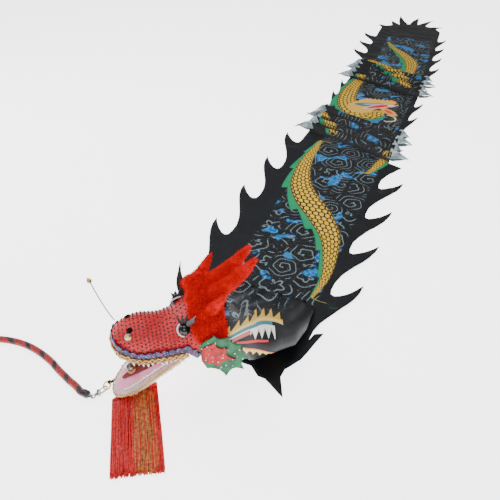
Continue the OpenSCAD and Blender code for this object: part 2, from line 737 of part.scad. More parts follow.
// Pearl that turns in a gold ring on the tongue
pearl_s = jaw_len - 86;
tongue_top = jaw_top + 5 + 2 * gap + 6;
module pearl() {
    color("#e8e8ea") on_jaw() translate([0, -pearl_s, tongue_top + gap + pearl_r + 1]) sphere(pearl_r);
}
module pearl_ring() {
    color("#cfa545") on_jaw() translate([0, -pearl_s, tongue_top + gap]) difference() {
        cylinder(h = 7, r = pearl_r + 3);
        translate([0, 0, pearl_r + 1]) sphere(pearl_r + gap);
    }
}

// Tassel under the jaw: a bound header, and strands that lie on the surface
header_front = [26, 6, 9];
header_rear = [42, 120, 56];
header_r = 5;
module tassel_header() {
    color("#9c1a1a") on_head() tube([header_front, mix(header_front, header_rear, 0.5), header_rear], header_r, 12);
}
// Cross-section of the strands at a fraction t of their length, between two shares of their width
function strand_ring(t, a, b, low, high) = let (
        front = mix([header_front[0] + header_r + gap, header_front[1] - 8, 0],
                    [header_front[0] + tassel_len, header_front[1] - 28, 0], t),
        rear = mix([header_rear[0] + header_r + gap, header_rear[1], header_rear[2] - header_r - 3],
                   [header_rear[0] + tassel_len, header_rear[1] - 16, 0], t),
        lift = pow(1 - t, 2), p = mix(front, rear, a), q = mix(front, rear, b), z = header_rear[2] - 12)
    [[p[0], p[1], a * z * lift + low], [q[0], q[1], b * z * lift + low],
     [q[0], q[1], b * z * lift + high], [p[0], p[1], a * z * lift + high]];
module strands(a, b, low, high) {
    on_head() loft([for (k = [0:8]) strand_ring(k / 8, a, b, low, high)]);
}
module tassel_red() { color("#c4161c") strands(0, 1, 0, tassel_t); }
module tassel_gold() { color("#a8702a") strands(0.5, 0.86, tassel_t + gap / 3, tassel_t + 2); }

ribbon_front();
neck_cowl();
gather_front();
ribbon_middle();
gather_rear();
ribbon_tail();
head_shell();
palate_lining();
lower_jaw();
jaw_lining();
mouth_web();
tongue();
teeth();
fangs();
upper_lip_trim();
lower_lip_trim();
sequin_band();
nostrils();
eye_left();
eye_right();
eye_rim_left();
eye_rim_right();
eyelash_left();
eyelash_right();
horn_left();
horn_right();
ear_left();
ear_right();
mane_collar();
cheek_fin_left();
cheek_fin_right();
cheek_flame_left();
cheek_flame_right();
neck_hoop();
load_strap();
chin_tab();
chin_rivet();
whisker_left();
whisker_right();
whisker_bud_left();
whisker_bud_right();
pearl();
pearl_ring();
tassel_header();
tassel_red();
tassel_gold();
chin_ring();
hook_body();
gate_pin();
hook_gate();
swivel_eye();
rope_bail();
rope_sleeve();
lead_rope();
lead_coil();
lead_end();
end_ferrule();
hand_loop();
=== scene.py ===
import math

import bmesh
import bpy
import numpy as np
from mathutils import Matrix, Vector, noise


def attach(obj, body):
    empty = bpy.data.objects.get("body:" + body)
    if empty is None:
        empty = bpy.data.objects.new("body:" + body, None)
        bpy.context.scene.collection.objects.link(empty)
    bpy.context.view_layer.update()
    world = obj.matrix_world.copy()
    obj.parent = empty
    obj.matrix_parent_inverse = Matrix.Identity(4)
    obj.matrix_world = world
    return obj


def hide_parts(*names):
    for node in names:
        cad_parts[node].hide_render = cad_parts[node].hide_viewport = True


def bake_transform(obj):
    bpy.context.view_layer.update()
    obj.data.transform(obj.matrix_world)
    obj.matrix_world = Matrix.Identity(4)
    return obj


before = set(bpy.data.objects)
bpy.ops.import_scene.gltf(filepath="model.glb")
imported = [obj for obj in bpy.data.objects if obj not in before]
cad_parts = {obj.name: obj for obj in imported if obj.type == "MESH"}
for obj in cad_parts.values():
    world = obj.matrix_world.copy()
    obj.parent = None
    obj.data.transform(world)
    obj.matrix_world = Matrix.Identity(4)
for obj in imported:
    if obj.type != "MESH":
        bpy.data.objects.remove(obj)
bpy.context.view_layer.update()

# ---------------------------------------------------------------------------------------
# Where it is seen: the streamer lies on a pale floor under soft studio light, and the
# viewer stands ahead of it, beside the head, looking down along the ribbon.
# ---------------------------------------------------------------------------------------
camera = bpy.data.objects.new("camera", bpy.data.cameras.new("camera"))
bpy.context.scene.collection.objects.link(camera)
camera.data.lens = 39.6
camera.data.sensor_width = 36
camera.data.clip_end = 30
camera.location = (0.497, -1.155, 1.200)
camera.rotation_euler = (math.radians(52.9), 0, math.radians(22.6))
bpy.context.scene.camera = camera

for name, place, aim, size, watts in (
        ("sky_panel", (-0.5, 0.8, 3.4), (-0.1, 1.0, 0), 3.4, 100),
        ("near_panel", (0.9, -2.4, 2.3), (-0.2, -0.3, 0.1), 1.6, 46),
        ("left_panel", (-2.6, 0.2, 1.7), (-0.1, 0.6, 0.1), 1.5, 38)):
    light = bpy.data.lights.new(name, "AREA")
    light.shape = "DISK"
    light.size = size
    light.energy = watts
    holder = bpy.data.objects.new(name, light)
    holder.location = place
    holder.rotation_euler = (Vector(aim) - Vector(place)).to_track_quat("-Z", "Y").to_euler()
    bpy.context.scene.collection.objects.link(holder)
world = bpy.data.worlds.new("studio")
world.use_nodes = True
world.node_tree.nodes["Background"].inputs["Color"].default_value = (1, 1, 1, 1)
world.node_tree.nodes["Background"].inputs["Strength"].default_value = 0.42
bpy.context.scene.world = world


class Wire:
    """A socket in a material, with sums written as Python expressions. In node(), i0, i1 and
    so on are sockets by number, and any other keyword is a socket by name."""

    def __init__(self, tree, socket):
        self.tree, self.socket = tree, socket

    def node(self, kind, settings=None, out=0, **inputs):
        made = self.tree.nodes.new(kind)
        for key, value in (settings or {}).items():
            setattr(made, key, value)
        for key, value in inputs.items():
            numbered = key[0] == "i" and key[1:].isdigit()
            slot = made.inputs[int(key[1:]) if numbered else key]
            if isinstance(value, Wire):
                self.tree.links.new(value.socket, slot)
            else:
                slot.default_value = value
        return Wire(self.tree, made.outputs[out])

    def maths(self, operation, *values):
        return self.node("ShaderNodeMath", {"operation": operation},
                         **{f"i{k}": v for k, v in enumerate(values)})

    def __add__(self, other): return self.maths("ADD", self, other)
    def __radd__(self, other): return self.maths("ADD", other, self)
    def __sub__(self, other): return self.maths("SUBTRACT", self, other)
    def __rsub__(self, other): return self.maths("SUBTRACT", other, self)
    def __mul__(self, other): return self.maths("MULTIPLY", self, other)
    def __rmul__(self, other): return self.maths("MULTIPLY", other, self)
    def __truediv__(self, other): return self.maths("DIVIDE", self, other)
    def __lt__(self, other): return self.maths("LESS_THAN", self, other)
    def __gt__(self, other): return self.maths("GREATER_THAN", self, other)
    def sin(self): return self.maths("SINE", self)
    def frac(self): return self.maths("FRACT", self)
    def abs(self): return self.maths("ABSOLUTE", self)
    def root(self): return self.maths("SQRT", self)
    def floor(self): return self.maths("FLOOR", self)
    def rounded(self): return self.maths("ROUND", self)
    def least(self, other): return self.maths("MINIMUM", self, other)
    def most(self, other): return self.maths("MAXIMUM", self, other)

    def soft(self, low, high):
        """0 below low, 1 above high, smooth between; low may be the larger."""
        flip = low > high
        made = self.node("ShaderNodeMapRange", {"interpolation_type": "SMOOTHSTEP"}, i0=self,
                         i1=min(low, high), i2=max(low, high))
        return 1 - made if flip else made

    def parts(self):
        split = self.node("ShaderNodeSeparateXYZ", i0=self).socket.node
        return [Wire(self.tree, socket) for socket in split.outputs]

    def vector(self, x, y, z=0.0):
        return self.node("ShaderNodeCombineXYZ", i0=x, i1=y, i2=z)

    def scaled(self, factor):
        return self.node("ShaderNodeVectorMath", {"operation": "SCALE"}, i0=self, Scale=factor)

    def noise(self, scale, detail=2.0, rough=0.5):
        return self.node("ShaderNodeTexNoise", Vector=self, Scale=scale, Detail=detail,
                         Roughness=rough)

    def cells(self, scale, feature="F1", out=0):
        return self.node("ShaderNodeTexVoronoi", {"feature": feature}, out, Vector=self,
                         Scale=scale)

    def tint(self, mask, over):
        """This colour with another laid over it where the mask is 1."""
        made = self.tree.nodes.new("ShaderNodeMix")
        made.data_type = "RGBA"
        for slot, value in ((made.inputs[0], mask), (made.inputs[6], self), (made.inputs[7], over)):
            if isinstance(value, Wire):
                self.tree.links.new(value.socket, slot)
            else:
                slot.default_value = value if not hasattr(value, "__len__") else (*value[:3], 1)
        return Wire(self.tree, made.outputs[2])

    def attribute(self, name, out=2):
        return self.node("ShaderNodeAttribute", {"attribute_name": name}, out)


def finish_of(name, paint, **fixed):
    """A material: paint(place) returns what varies, and the rest is set on the shader."""
    made = bpy.data.materials.new(name)
    made.use_nodes = True
    tree = made.node_tree
    shader = tree.nodes["Principled BSDF"]
    place = Wire(tree, tree.nodes.new("ShaderNodeTexCoord").outputs["Object"])
    for key, value in fixed.items():
        shader.inputs[key.replace("_", " ")].default_value = value
    for key, value in paint(place).items():
        if key == "bump":
            height, strength, distance = value
            bump = place.node("ShaderNodeBump", Height=height, Strength=strength, Distance=distance)
            tree.links.new(bump.socket, shader.inputs["Normal"])
        elif isinstance(value, Wire):
            tree.links.new(value.socket, shader.inputs[key.replace("_", " ")])
        else:
            shader.inputs[key.replace("_", " ")].default_value = value
    return made


def flat(place, colour):
    return place.node("ShaderNodeRGB").tint(1.0, colour)


def mottled(name, dark, light, grain, rough, edge=None, share=None, bump=None, **fixed):
    """A finish in two shades mixed by noise. grain is the noise's scale and detail, edge its
    soft step, rough a number or (base, spread, scale, detail), and bump (scale, detail,
    strength, distance)."""
    def paint(place):
        mask = place.noise(*grain)
        if edge:
            mask = mask.soft(*edge)
        if share:
            mask = mask * share
        varied = isinstance(rough, tuple)
        varies = {"Base_Color": flat(place, dark).tint(mask, light),
                  "Roughness": rough[0] + rough[1] * place.noise(*rough[2:]) if varied else rough}
        if bump:
            varies["bump"] = (place.noise(*bump[:2]), *bump[2:])
        return varies
    return finish_of(name, paint, **fixed)


def shaded(mesh, smooth=True):
    mesh.polygons.foreach_set("use_smooth", [smooth] * len(mesh.polygons))


def object_of(name, mesh, finish=None):
    """An object at the origin for a mesh, with one finish."""
    made = bpy.data.objects.new(name, mesh)
    bpy.context.scene.collection.objects.link(made)
    if finish:
        mesh.materials.clear()
        mesh.materials.append(finish)
    return made


def object_from(name, shape, finish=None):
    """An object from a bmesh, which is freed."""
    mesh = bpy.data.meshes.new(name)
    shape.to_mesh(mesh)
    shape.free()
    return object_of(name, mesh, finish)


def applied(made):
    """Turns an object's modifiers into its plain mesh."""
    bpy.context.view_layer.update()
    graph = bpy.context.evaluated_depsgraph_get()
    baked = bpy.data.meshes.new_from_object(made.evaluated_get(graph))
    made.modifiers.clear()
    made.data = baked
    return made


def belongs(made, body, slot_name, *nodes):
    """Says which body a piece rides on and which CAD nodes it replaces, which are hidden;
    slot_name, what it is made of, is not used.
    """
    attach(made, body)
    if nodes:
        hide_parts(*nodes)
    return made


def tube_faces(rings, sides, start=0):
    """Faces of a closed tube: rings of points that follow each other, with both ends shut."""
    faces = [(start + k * sides + i, start + k * sides + (i + 1) % sides,
              start + (k + 1) * sides + (i + 1) % sides, start + (k + 1) * sides + i)
             for k in range(rings - 1) for i in range(sides)]
    last = start + (rings - 1) * sides
    return faces + [tuple(range(start + sides - 1, start - 1, -1)),
                    tuple(range(last, last + sides))]


def run_along(path):
    """How far along a path each of its points lies."""
    steps = np.linalg.norm(np.diff(path, axis=0), axis=1)
    return np.concatenate([[0], np.cumsum(steps)])


def piece_from(name, points, faces, finish, smooth=True, outward=True):
    """A mesh object at the origin from points in metres."""
    mesh = bpy.data.meshes.new(name)
    mesh.from_pydata([tuple(p) for p in points], [], [tuple(f) for f in faces])
    if outward:
        shape = bmesh.new()
        shape.from_mesh(mesh)
        bmesh.ops.recalc_face_normals(shape, faces=shape.faces)
        shape.to_mesh(mesh)
        shape.free()
    shaded(mesh, smooth)
    return object_of(name, mesh, finish)


def smooth_path(points, step):
    """Points every step along a smooth curve through the given ones."""
    p = np.array(points, float)
    ends = np.vstack([2 * p[0] - p[1], p, 2 * p[-1] - p[-2]])
    fine = []
    for a, b, c, d in zip(ends, ends[1:], ends[2:], ends[3:]):
        for t in np.linspace(0, 1, 24, endpoint=False):
            fine.append(0.5 * (2 * b + (c - a) * t + (2 * a - 5 * b + 4 * c - d) * t * t
                               + (3 * b - a - 3 * c + d) * t ** 3))
    fine = np.array(fine + [p[-1]])
    run = run_along(fine)
    at = np.linspace(0, run[-1], max(2, int(round(run[-1] / step)) + 1))
    return np.stack([np.interp(at, run, fine[:, k]) for k in range(3)], 1)


def frames_along(path, up=(0, 0, 1)):
    """Tangent, side and up at each point of a path."""
    t = np.gradient(path, axis=0)
    t /= np.linalg.norm(t, axis=1)[:, None]
    side = np.cross(t, np.array(up, float))
    side /= np.linalg.norm(side, axis=1)[:, None]
    return t, side, np.cross(side, t)


def round_tube(name, path, radius, sides, finish, up=(0, 0, 1)):
    """A closed round tube with a UV map: U along it in metres, V once round it."""
    t, side, over = frames_along(path, up)
    radius = np.broadcast_to(radius, len(path))
    turn = np.linspace(0, 2 * math.pi, sides, endpoint=False)
    spoke = (np.cos(turn)[None, :, None] * side[:, None]
             + np.sin(turn)[None, :, None] * over[:, None])
    rings = (path[:, None] + radius[:, None, None] * spoke).reshape(-1, 3)
    n = len(path)
    made = piece_from(name, rings, tube_faces(n, sides), finish, outward=False)
    run = run_along(path)
    uv = made.data.uv_layers.new(name="along")
    values = []
    for k in range(n - 1):
        for i in range(sides):
            values += [run[k], i / sides, run[k], (i + 1) / sides,
                       run[k + 1], (i + 1) / sides, run[k + 1], i / sides]
    values += [0.0] * (len(made.data.loops) * 2 - len(values))
    uv.data.foreach_set("uv", values)
    return made


# ---------------------------------------------------------------------------------------
# Lead rope: 20 mm braided nylon rope, red with black bands that wind round it. It leaves
# the crimped sleeve, lies on the floor, and its spare length is coiled for storage.
# ---------------------------------------------------------------------------------------
HEAD_TURN = math.radians(52)


def head_point(x, y, z):
    """A point given from under the chin: x to the head's left, y back, z up, in mm."""
    c, s = math.cos(HEAD_TURN), math.sin(HEAD_TURN)
    return Vector((-208 + c * x + s * y, -426 - s * x + c * y, z)) / 1000


def rope_braid(place):
    split = place.node("ShaderNodeUVMap", {"uv_map": "along"})
    along, around, _ = split.parts()
    turn = around + along * 16.0
    band = (turn.frac() - 0.5).abs().soft(0.13, 0.19)
    plait = ((around * 8.0 + along * 240.0).frac() - 0.5).abs() * 2
    cross = ((around * 8.0 - along * 240.0).frac() - 0.5).abs() * 2
    strands = plait.least(cross)
    # Painted shade: the red is darkened along the grooves between the plaited strands.
    red = flat(place, (0.42, 0.012, 0.018)).tint(strands.soft(0.35, 0.0), (0.16, 0.004, 0.006))
    return {"Base_Color": red.tint(1 - band, (0.012, 0.010, 0.012)),
            "Roughness": 0.42 + 0.2 * strands, "bump": (strands, 0.8, 0.0015)}


rope_finish = finish_of("braided rope", rope_braid)
ROPE_RADIUS = 0.010
# Where the rope's bail lies, from the same lengths in mm and turns as in the CAD source.
bail_turn = math.radians(30)
bail_reach = -(2 * 11 * math.cos(math.asin(12 / 22)) + 37.4)
bail_at = np.array(head_point(-23 - bail_reach * math.sin(bail_turn),
                              -1 + bail_reach * math.cos(bail_turn), 12))
aim = bail_turn - HEAD_TURN - math.radians(73)
rope_aim = np.array([math.sin(aim), -math.cos(aim), 0])
rope_start = bail_at + rope_aim * 0.029
first_bend = bail_at + rope_aim * 0.041 - np.array([0, 0, 0.0007])
route = [(-308, -446), (-334, -438), (-361, -428), (-392, -416), (-424, -402), (-470, -388),
         (-520, -379), (-570, -379), (-620, -389), (-670, -406), (-720, -424), (-770, -438)]
coil_centre = np.array([-0.8, -0.56])
COIL_RADIUS = 0.11
coil_in = math.radians(105)
turns = np.linspace(0, 4 * math.pi, 97)
rise = np.clip((turns - 1.65 * math.pi) / (0.7 * math.pi), 0, 1)
coil_path = [(coil_centre[0] + COIL_RADIUS * math.cos(coil_in + a),
              coil_centre[1] + COIL_RADIUS * math.sin(coil_in + a),
              ROPE_RADIUS + 2 * ROPE_RADIUS * (3 * r * r - 2 * r ** 3))
             for a, r in zip(turns, rise)]
coil_exit = np.array(coil_path[-1])
coil_aim = np.array([-math.sin(coil_in), math.cos(coil_in), 0])
end_drop = [coil_exit + coil_aim * 0.15 * t
            - np.array([0, 0, 0.0175 * (1 - math.cos(math.pi * t)) / 2])
            for t in np.linspace(0.125, 1, 8)]
on_floor = [(x / 1000, y / 1000, ROPE_RADIUS) for x, y in route]
rope_path = smooth_path([rope_start, first_bend] + on_floor + coil_path + end_drop, 0.006)
rope_path[:, 2] = np.maximum(rope_path[:, 2], ROPE_RADIUS)
rope = round_tube("lead_rope_braided", rope_path, ROPE_RADIUS, 16, rope_finish)
belongs(rope, "lead", "red_cord", "lead_rope", "lead_coil", "lead_end")

# ---------------------------------------------------------------------------------------
# Ribbon: black satin printed with dotted spiral clouds, blue patches, a gold scaled body
# and its green fringe. Its edge is cut into flames; it lies with low folds in the cloth.
# ---------------------------------------------------------------------------------------
def merged_copy(node, keep=None):
    """A clean bmesh of a CAD node, with only the faces that keep(face) accepts."""
    shape = bmesh.new()
    shape.from_mesh(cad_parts[node].data)
    bmesh.ops.remove_doubles(shape, verts=shape.verts, dist=2e-5)
    if keep:
        bmesh.ops.delete(shape, geom=[f for f in shape.faces if not keep(f)], context="FACES")
    for layer in list(shape.loops.layers.uv):
        shape.loops.layers.uv.remove(layer)
    return shape


def cut_fine(shape, axis, step):
    """Cuts every face at planes a step apart along one axis."""
    values = [v.co[axis] for v in shape.verts]
    normal = Vector([1.0 if k == axis else 0.0 for k in range(3)])
    at = math.floor(min(values) / step) * step + step
    while at < max(values):
        bmesh.ops.bisect_plane(shape, geom=shape.verts[:] + shape.edges[:] + shape.faces[:],
                               dist=1e-6, plane_co=normal * at, plane_no=normal)
        at += step


def along_curve(points, centre, half):
    """For each point: how far along a curve it is, and how far across, 1 at the body's edge."""
    fine = smooth_path([(x, y, 0) for x, y in centre], 0.004)[:, :2]
    width = np.interp(np.linspace(0, 1, len(fine)), np.linspace(0, 1, len(half)), half)
    run = np.arange(len(fine)) * 0.004
    t = np.gradient(fine, axis=0)
    t /= np.linalg.norm(t, axis=1)[:, None]
    far, along, across = (np.full(len(points), v) for v in (9.0, 0.0, 9.0))
    for k in range(0, len(points), 4000):
        d = points[k:k + 4000, None, :2] - fine[None]
        near = np.argmin((d ** 2).sum(2), 1)
        pick = d[np.arange(len(near)), near]
        side = t[near, 0] * pick[:, 1] - t[near, 1] * pick[:, 0]
        reach = np.linalg.norm(pick, axis=1)
        past = (near == 0) | (near == len(fine) - 1)
        far[k:k + 4000] = np.where(past, reach + 0.02, reach)
        along[k:k + 4000] = run[near]
        signed = -np.sign(side) * reach / width[near]
        across[k:k + 4000] = np.where(past & (reach > width[near]), 9, signed)
    return far, along, across


# The printed bodies: points along each, x and y in metres, and half its width at even steps.
SERPENTS = (
    ([(-.130, 1.26), (-.131, 1.02), (-.098, .85), (-.040, .735), (.050, .626), (.128, .505),
      (.166, .378), (.184, .250), (.172, .135)],
     (.010, .022, .034, .048, .054, .048, .032, .018, .004)),
    ([(.150, 1.01), (.176, 1.10), (.196, 1.20)], (.008, .018, .022)),
    ([(-.150, 2.20), (-.163, 2.05), (-.160, 1.92), (-.140, 1.79), (-.080, 1.68), (.005, 1.645),
      (.060, 1.70)], (.030, .036, .046, .052, .060, .055, .040)),
    ([(-.215, 1.55), (-.150, 1.45), (-.085, 1.33)], (.020, .028, .024)),
    ([(-.175, 2.53), (-.056, 2.434), (.054, 2.283), (.140, 2.09)], (.022, .040, .044, .030)),
    ([(-.150, 2.98), (-.075, 2.85), (.010, 2.74), (.085, 2.58), (.105, 2.40)],
     (.006, .022, .036, .044, .030)))


def store(made, name, values):
    """Keeps one number for each point of a mesh, for its material to read."""
    layer = made.data.attributes.new(name, "FLOAT", "POINT")
    layer.data.foreach_set("value", np.array(values, np.float32))


def mark_print(made):
    """Stores where each point of the cloth lies on the printed design."""
    mesh = made.data
    co = np.empty(len(mesh.vertices) * 3)
    mesh.vertices.foreach_get("co", co)
    co = co.reshape(-1, 3)
    best = np.full(len(co), 9.0)
    along, across = np.zeros(len(co)), np.full(len(co), 9.0)
    for centre, half in SERPENTS:
        far, run, over = along_curve(co, centre, half)
        take = far < best
        best = np.where(take, far, best)
        along = np.where(take, run, along)
        across = np.where(take, over, across)
    store(made, "print_along", along)
    store(made, "print_across", np.clip(across, -6, 6))
    store(made, "print_far", best)


def cloud_print(place, colour):
    """Dotted spirals that crowd each other, some on sky blue."""
    warped = place.node("ShaderNodeVectorMath", {"operation": "ADD"}, i0=place,
                        i1=place.noise(3.0, 1).scaled(0.02))
    x, y, _ = warped.parts()
    flat_place = place.vector(x, y)
    centre = flat_place.cells(8.4, out=2)
    edge = flat_place.cells(8.4, "DISTANCE_TO_EDGE")
    away = place.node("ShaderNodeVectorMath", {"operation": "SUBTRACT"}, i0=flat_place, i1=centre)
    ax, ay, _ = away.parts()
    radius = away.node("ShaderNodeVectorMath", {"operation": "LENGTH"}, 1, i0=away)
    angle = ay.maths("ARCTAN2", ay, ax)
    lobed = radius * (1 + (angle * 5.0).sin() * 0.05)
    turn = angle / (2 * math.pi)
    line = ((lobed / 0.019 + turn).frac() - 0.5).abs().soft(0.105, 0.07)
    steps = ((turn + 0.5) * (radius * 760.0 + 3.0).rounded()).frac()
    dots = (steps - 0.5).abs().soft(0.29, 0.22)
    spiral = line * dots * edge.soft(0.02, 0.07)
    blue = flat_place.noise(8.5, 2).soft(0.555, 0.575) * edge.soft(0.17, 0.13)
    sky = flat(place, (0.004, 0.10, 0.32)).tint(flat_place.noise(90, 2).soft(0.45, 0.6),
                                                (0.012, 0.26, 0.60))
    colour = colour.tint(blue, sky)
    speckle = flat_place.cells(120.0).soft(0.20, 0.14) * (edge < 0.30) * 0.5
    return colour.tint((spiral * 0.85).most(speckle * 0.6), (0.36, 0.47, 0.50))


def scale_print(place, colour):
    """A gold body of rounded scales with dark outlines, and a fringe of green flames."""
    along = place.attribute("print_along")
    across = place.attribute("print_across")
    row = across * 2.6
    shift = row.floor() * 0.5
    u = (along / 0.030 + shift).frac() - 0.5
    v = row.frac() - 0.5
    scale_edge = (u * u + v * v * 0.9).root().soft(0.37, 0.46)
    near = place.attribute("print_far") < 0.062
    body = across.abs().soft(1.03, 0.97) * near
    outline = across.abs().soft(0.86, 0.93) * body
    gold = flat(place, (0.74, 0.44, 0.025)).tint(place.noise(30, 2).soft(0.3, 0.7) * 0.5,
                                                 (0.84, 0.58, 0.09))
    gold = gold.tint(scale_edge, (0.018, 0.010, 0.003)).tint(outline, (0.035, 0.02, 0.01))
    lobes = (along / 0.155).frac() * 0.55 + 1.28
    fringe = (across > 1.0) * (across < lobes) * (place.attribute("print_far") < 0.105)
    green = flat(place, (0.0, 0.24, 0.09)).tint(place.noise(26, 2) * 0.6, (0.001, 0.36, 0.16))
    green = green.tint((lobes - across).soft(0.09, 0.03), (0.005, 0.05, 0.03))
    return colour.tint(fringe, green).tint(body, gold)


def over_shape(masks, colour):
    """Lays each paint over the colour where its mask is 1."""
    for mask, paint in masks:
        colour = colour.tint(mask, paint)
    return colour


def dragon_head_print(place, colour):
    """A small dragon's head with an open mouth, on the middle panel, where the gold neck ends."""
    x, y, _ = place.parts()
    x = x + (place.noise(34, 2) - 0.5) * 0.014

    def patch(cx, cy, reach_x, reach_y, lean=0.0):
        a, b = x - cx, y - cy
        b = b - a * lean
        return (a * a) / (reach_x * reach_x) + (b * b) / (reach_y * reach_y) < 1

    jag = ((x * 46.0).frac() - 0.5).abs() * 0.04
    crest = (patch(0.020, 1.838, 0.095, 0.030, 0.25) * (y > 1.800 + x * 0.2)
             + patch(0.022, 1.845, 0.100, 0.050, 0.25) * (y < 1.868 + x * 0.25 + jag))
    cheek = patch(-0.045, 1.742, 0.075, 0.085)
    snout = patch(-0.010, 1.795, 0.080, 0.026, 0.30)
    snout_light = patch(0.000, 1.802, 0.050, 0.011, 0.30)
    lip_mark = patch(0.048, 1.788, 0.085, 0.030, 0.62)
    mouth = patch(0.056, 1.794, 0.070, 0.018, 0.72)
    below = y - 1.700 + (x - 0.10) * 0.5
    beard = patch(0.105, 1.735, 0.050, 0.030, -0.55) * (below > jag * -1.0)
    beard_core = patch(0.105, 1.735, 0.028, 0.014, -0.55)
    teeth = patch(0.098, 1.822, 0.018, 0.012, 0.3)
    cx, cy = x - 0.118, y - 1.650
    curl = (((cx * cx + cy * cy).root() - 0.040).abs() < 0.0045) * (x > 0.105)
    return over_shape((
        (cheek, (0.72, 0.42, 0.07)), (crest > 0.5, (0.80, 0.42, 0.06)), (snout, (0.05, 0.17, 0.21)),
        (snout_light, (0.28, 0.42, 0.46)), (lip_mark, (0.76, 0.44, 0.36)),
        (mouth, (0.60, 0.012, 0.022)), (beard, (0.82, 0.34, 0.08)),
        (beard_core, (0.75, 0.07, 0.02)), (teeth, (0.80, 0.80, 0.74)),
        (curl, (0.74, 0.66, 0.34))), colour)


def black_satin(place):
    return flat(place, (0.0025, 0.0034, 0.0056)).tint(place.noise(7, 3) * 0.5,
                                                      (0.006, 0.0075, 0.011))


def satin_weave(place):
    """The fine grid of the threads."""
    x, y, _ = place.parts()
    return (x * 9000.0).sin() * (y * 5200.0).sin()


def ribbon_print(place):
    x, y, _ = place.parts()
    lean = (y - 2.39) * 0.052 * (y > 2.39)
    inner = (x + lean - 0.030).abs().soft(0.168, 0.158)
    ahead = (y + x * 0.4).soft(0.02, 0.05) * (3.14 - y).soft(0.0, 0.05)
    black = black_satin(place)
    back = place.attribute("fold_back")
    colour = black.tint(inner * ahead, cloud_print(place, black))
    colour = dragon_head_print(place, scale_print(place, colour))
    # Painted shade: the pleats' valleys are darkened nearly to black, and the rest of each gather
    # partly.
    colour = colour.tint(place.attribute("fold_shade") * 0.97, (0.0015, 0.0015, 0.002))
    grey_blue = flat(place, (0.145, 0.185, 0.215)).tint(place.noise(20, 2), (0.22, 0.27, 0.30))
    colour = colour.tint(back, grey_blue)
    return {"Base_Color": colour, "Roughness": 0.36 + place.noise(11, 3) * 0.22,
            "bump": (satin_weave(place) * 0.4 + place.noise(38, 4) * 3.0, 0.28, 0.0012)}


ribbon_finish = finish_of("printed black satin", ribbon_print, Specular_IOR_Level=0.22)


def cloth_waves(x, y):
    """Height of the low folds in the lying cloth, in metres."""
    broad = noise.noise(Vector((x * 4.2 + 3, y * 3.0, 1.7)))
    creases = 1 - abs(noise.noise(Vector((x * 7 + y * 5.5, y * 6 - x * 3, 4.2)))) * 3.2
    fine = noise.noise(Vector((x * 26, y * 22, 9)))
    return 0.0042 * broad + 0.0032 * max(0, creases) + 0.0011 * fine


def lying_cloth(name, node, cell, heights):
    """The top of a CAD panel cut fine and laid in folds; it is given the thickness of cloth
    afterwards, by thicken.
    """
    shape = merged_copy(node, lambda f: f.normal.z > 0.2)
    cut_fine(shape, 0, cell)
    cut_fine(shape, 1, cell)
    bmesh.ops.triangulate(shape, faces=[f for f in shape.faces if len(f.verts) > 4])
    bmesh.ops.remove_doubles(shape, verts=shape.verts, dist=6e-4)
    back, shade = [0.0] * len(shape.verts), [0.0] * len(shape.verts)
    for k, v in enumerate(shape.verts):
        v.co.z, back[k], shade[k] = heights(v.co.copy())
    made = object_from(name, shape, ribbon_finish)
    shaded(made.data)
    store(made, "fold_back", back)
    # The pleats' painted shade is kept for the ribbon's colour.
    store(made, "fold_shade", shade)
    mark_print(made)
    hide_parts(node)
    return made


def thicken(made, thickness):
    solid = made.modifiers.new("cloth thickness", "SOLIDIFY")
    solid.thickness = thickness
    solid.offset = -1
    applied(made)


CLOTH, LYING, FLAME_ROOT, PLEAT = 0.0012, 0.0028, 0.222, 0.080
PANEL_CELL, PLEAT_CELL = 0.013, 0.009
SLANT = math.tan(math.radians(23))
FIRST_GATHER, SECOND_GATHER, GATHER_RUN = 1.250, 2.0706, 0.320


def panel_heights(start, stop):
    def heights(co):
        line = co.y + co.x * SLANT
        ease = min(1, max(0, (line - start) / 0.05))
        if stop:
            ease = min(ease, max(0, (stop - line) / 0.05))
        return max(0.0018, LYING + ease * cloth_waves(co.x, co.y)), 0.0, 0.0
    return heights


# ---------------------------------------------------------------------------------------
# Gathers: the ribbon is pleated across in two places, so each pleat rolls over the next
# and its grey-blue back shows at the folded points that stick out of both edges.
# ---------------------------------------------------------------------------------------
def pleat_heights(start):
    def heights(co):
        line = (co.y + co.x * SLANT - start) / PLEAT
        wander = 0.16 * noise.noise(Vector((co.x * 6, start, 2)))
        phase = (line + wander) % 1.0
        lean = phase ** 1.7
        share = min(1, max(0, line) * 6, max(0, 4 - line) * 6)
        uneven = noise.noise(Vector((co.x * 9, math.floor(line + wander) * 3.1, 5)))
        crest = 0.034 * (0.80 + 0.34 * uneven)
        height = LYING + share * (crest * math.sin(math.pi * lean) ** 1.4)
        # Painted shade: full in each valley between pleats and on the slopes beside it, and three
        # tenths over the rest of the gather.
        shade = share * max(0.30, min(1, (0.52 - phase) / 0.20), min(1, (phase - 0.86) / 0.06))
        if abs(co.x) > FLAME_ROOT:
            return max(0.0022, 0.003 + 0.004 * noise.noise(co * 40)), 1.0, 0.0
        return height, 0.0, shade
    return heights


middle_start, tail_start = FIRST_GATHER + GATHER_RUN, SECOND_GATHER + GATHER_RUN
front_cloth = lying_cloth("ribbon_front_cloth", "ribbon_front", PANEL_CELL,
                          panel_heights(-2, FIRST_GATHER))
middle_cloth = lying_cloth("ribbon_middle_cloth", "ribbon_middle", PANEL_CELL,
                           panel_heights(middle_start, SECOND_GATHER))
tail_cloth = lying_cloth("ribbon_tail_cloth", "ribbon_tail", PANEL_CELL,
                         panel_heights(tail_start, None))
front_pleats = lying_cloth("gather_front_pleats", "gather_front", PLEAT_CELL,
                           pleat_heights(FIRST_GATHER))
rear_pleats = lying_cloth("gather_rear_pleats", "gather_rear", PLEAT_CELL,
                          pleat_heights(SECOND_GATHER))
for cloth, body in ((front_cloth, "ribbon"), (middle_cloth, "ribbon_mid"),
                    (tail_cloth, "ribbon_end"), (front_pleats, "ribbon"),
                    (rear_pleats, "ribbon_mid")):
    thicken(cloth, CLOTH)
    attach(cloth, body)

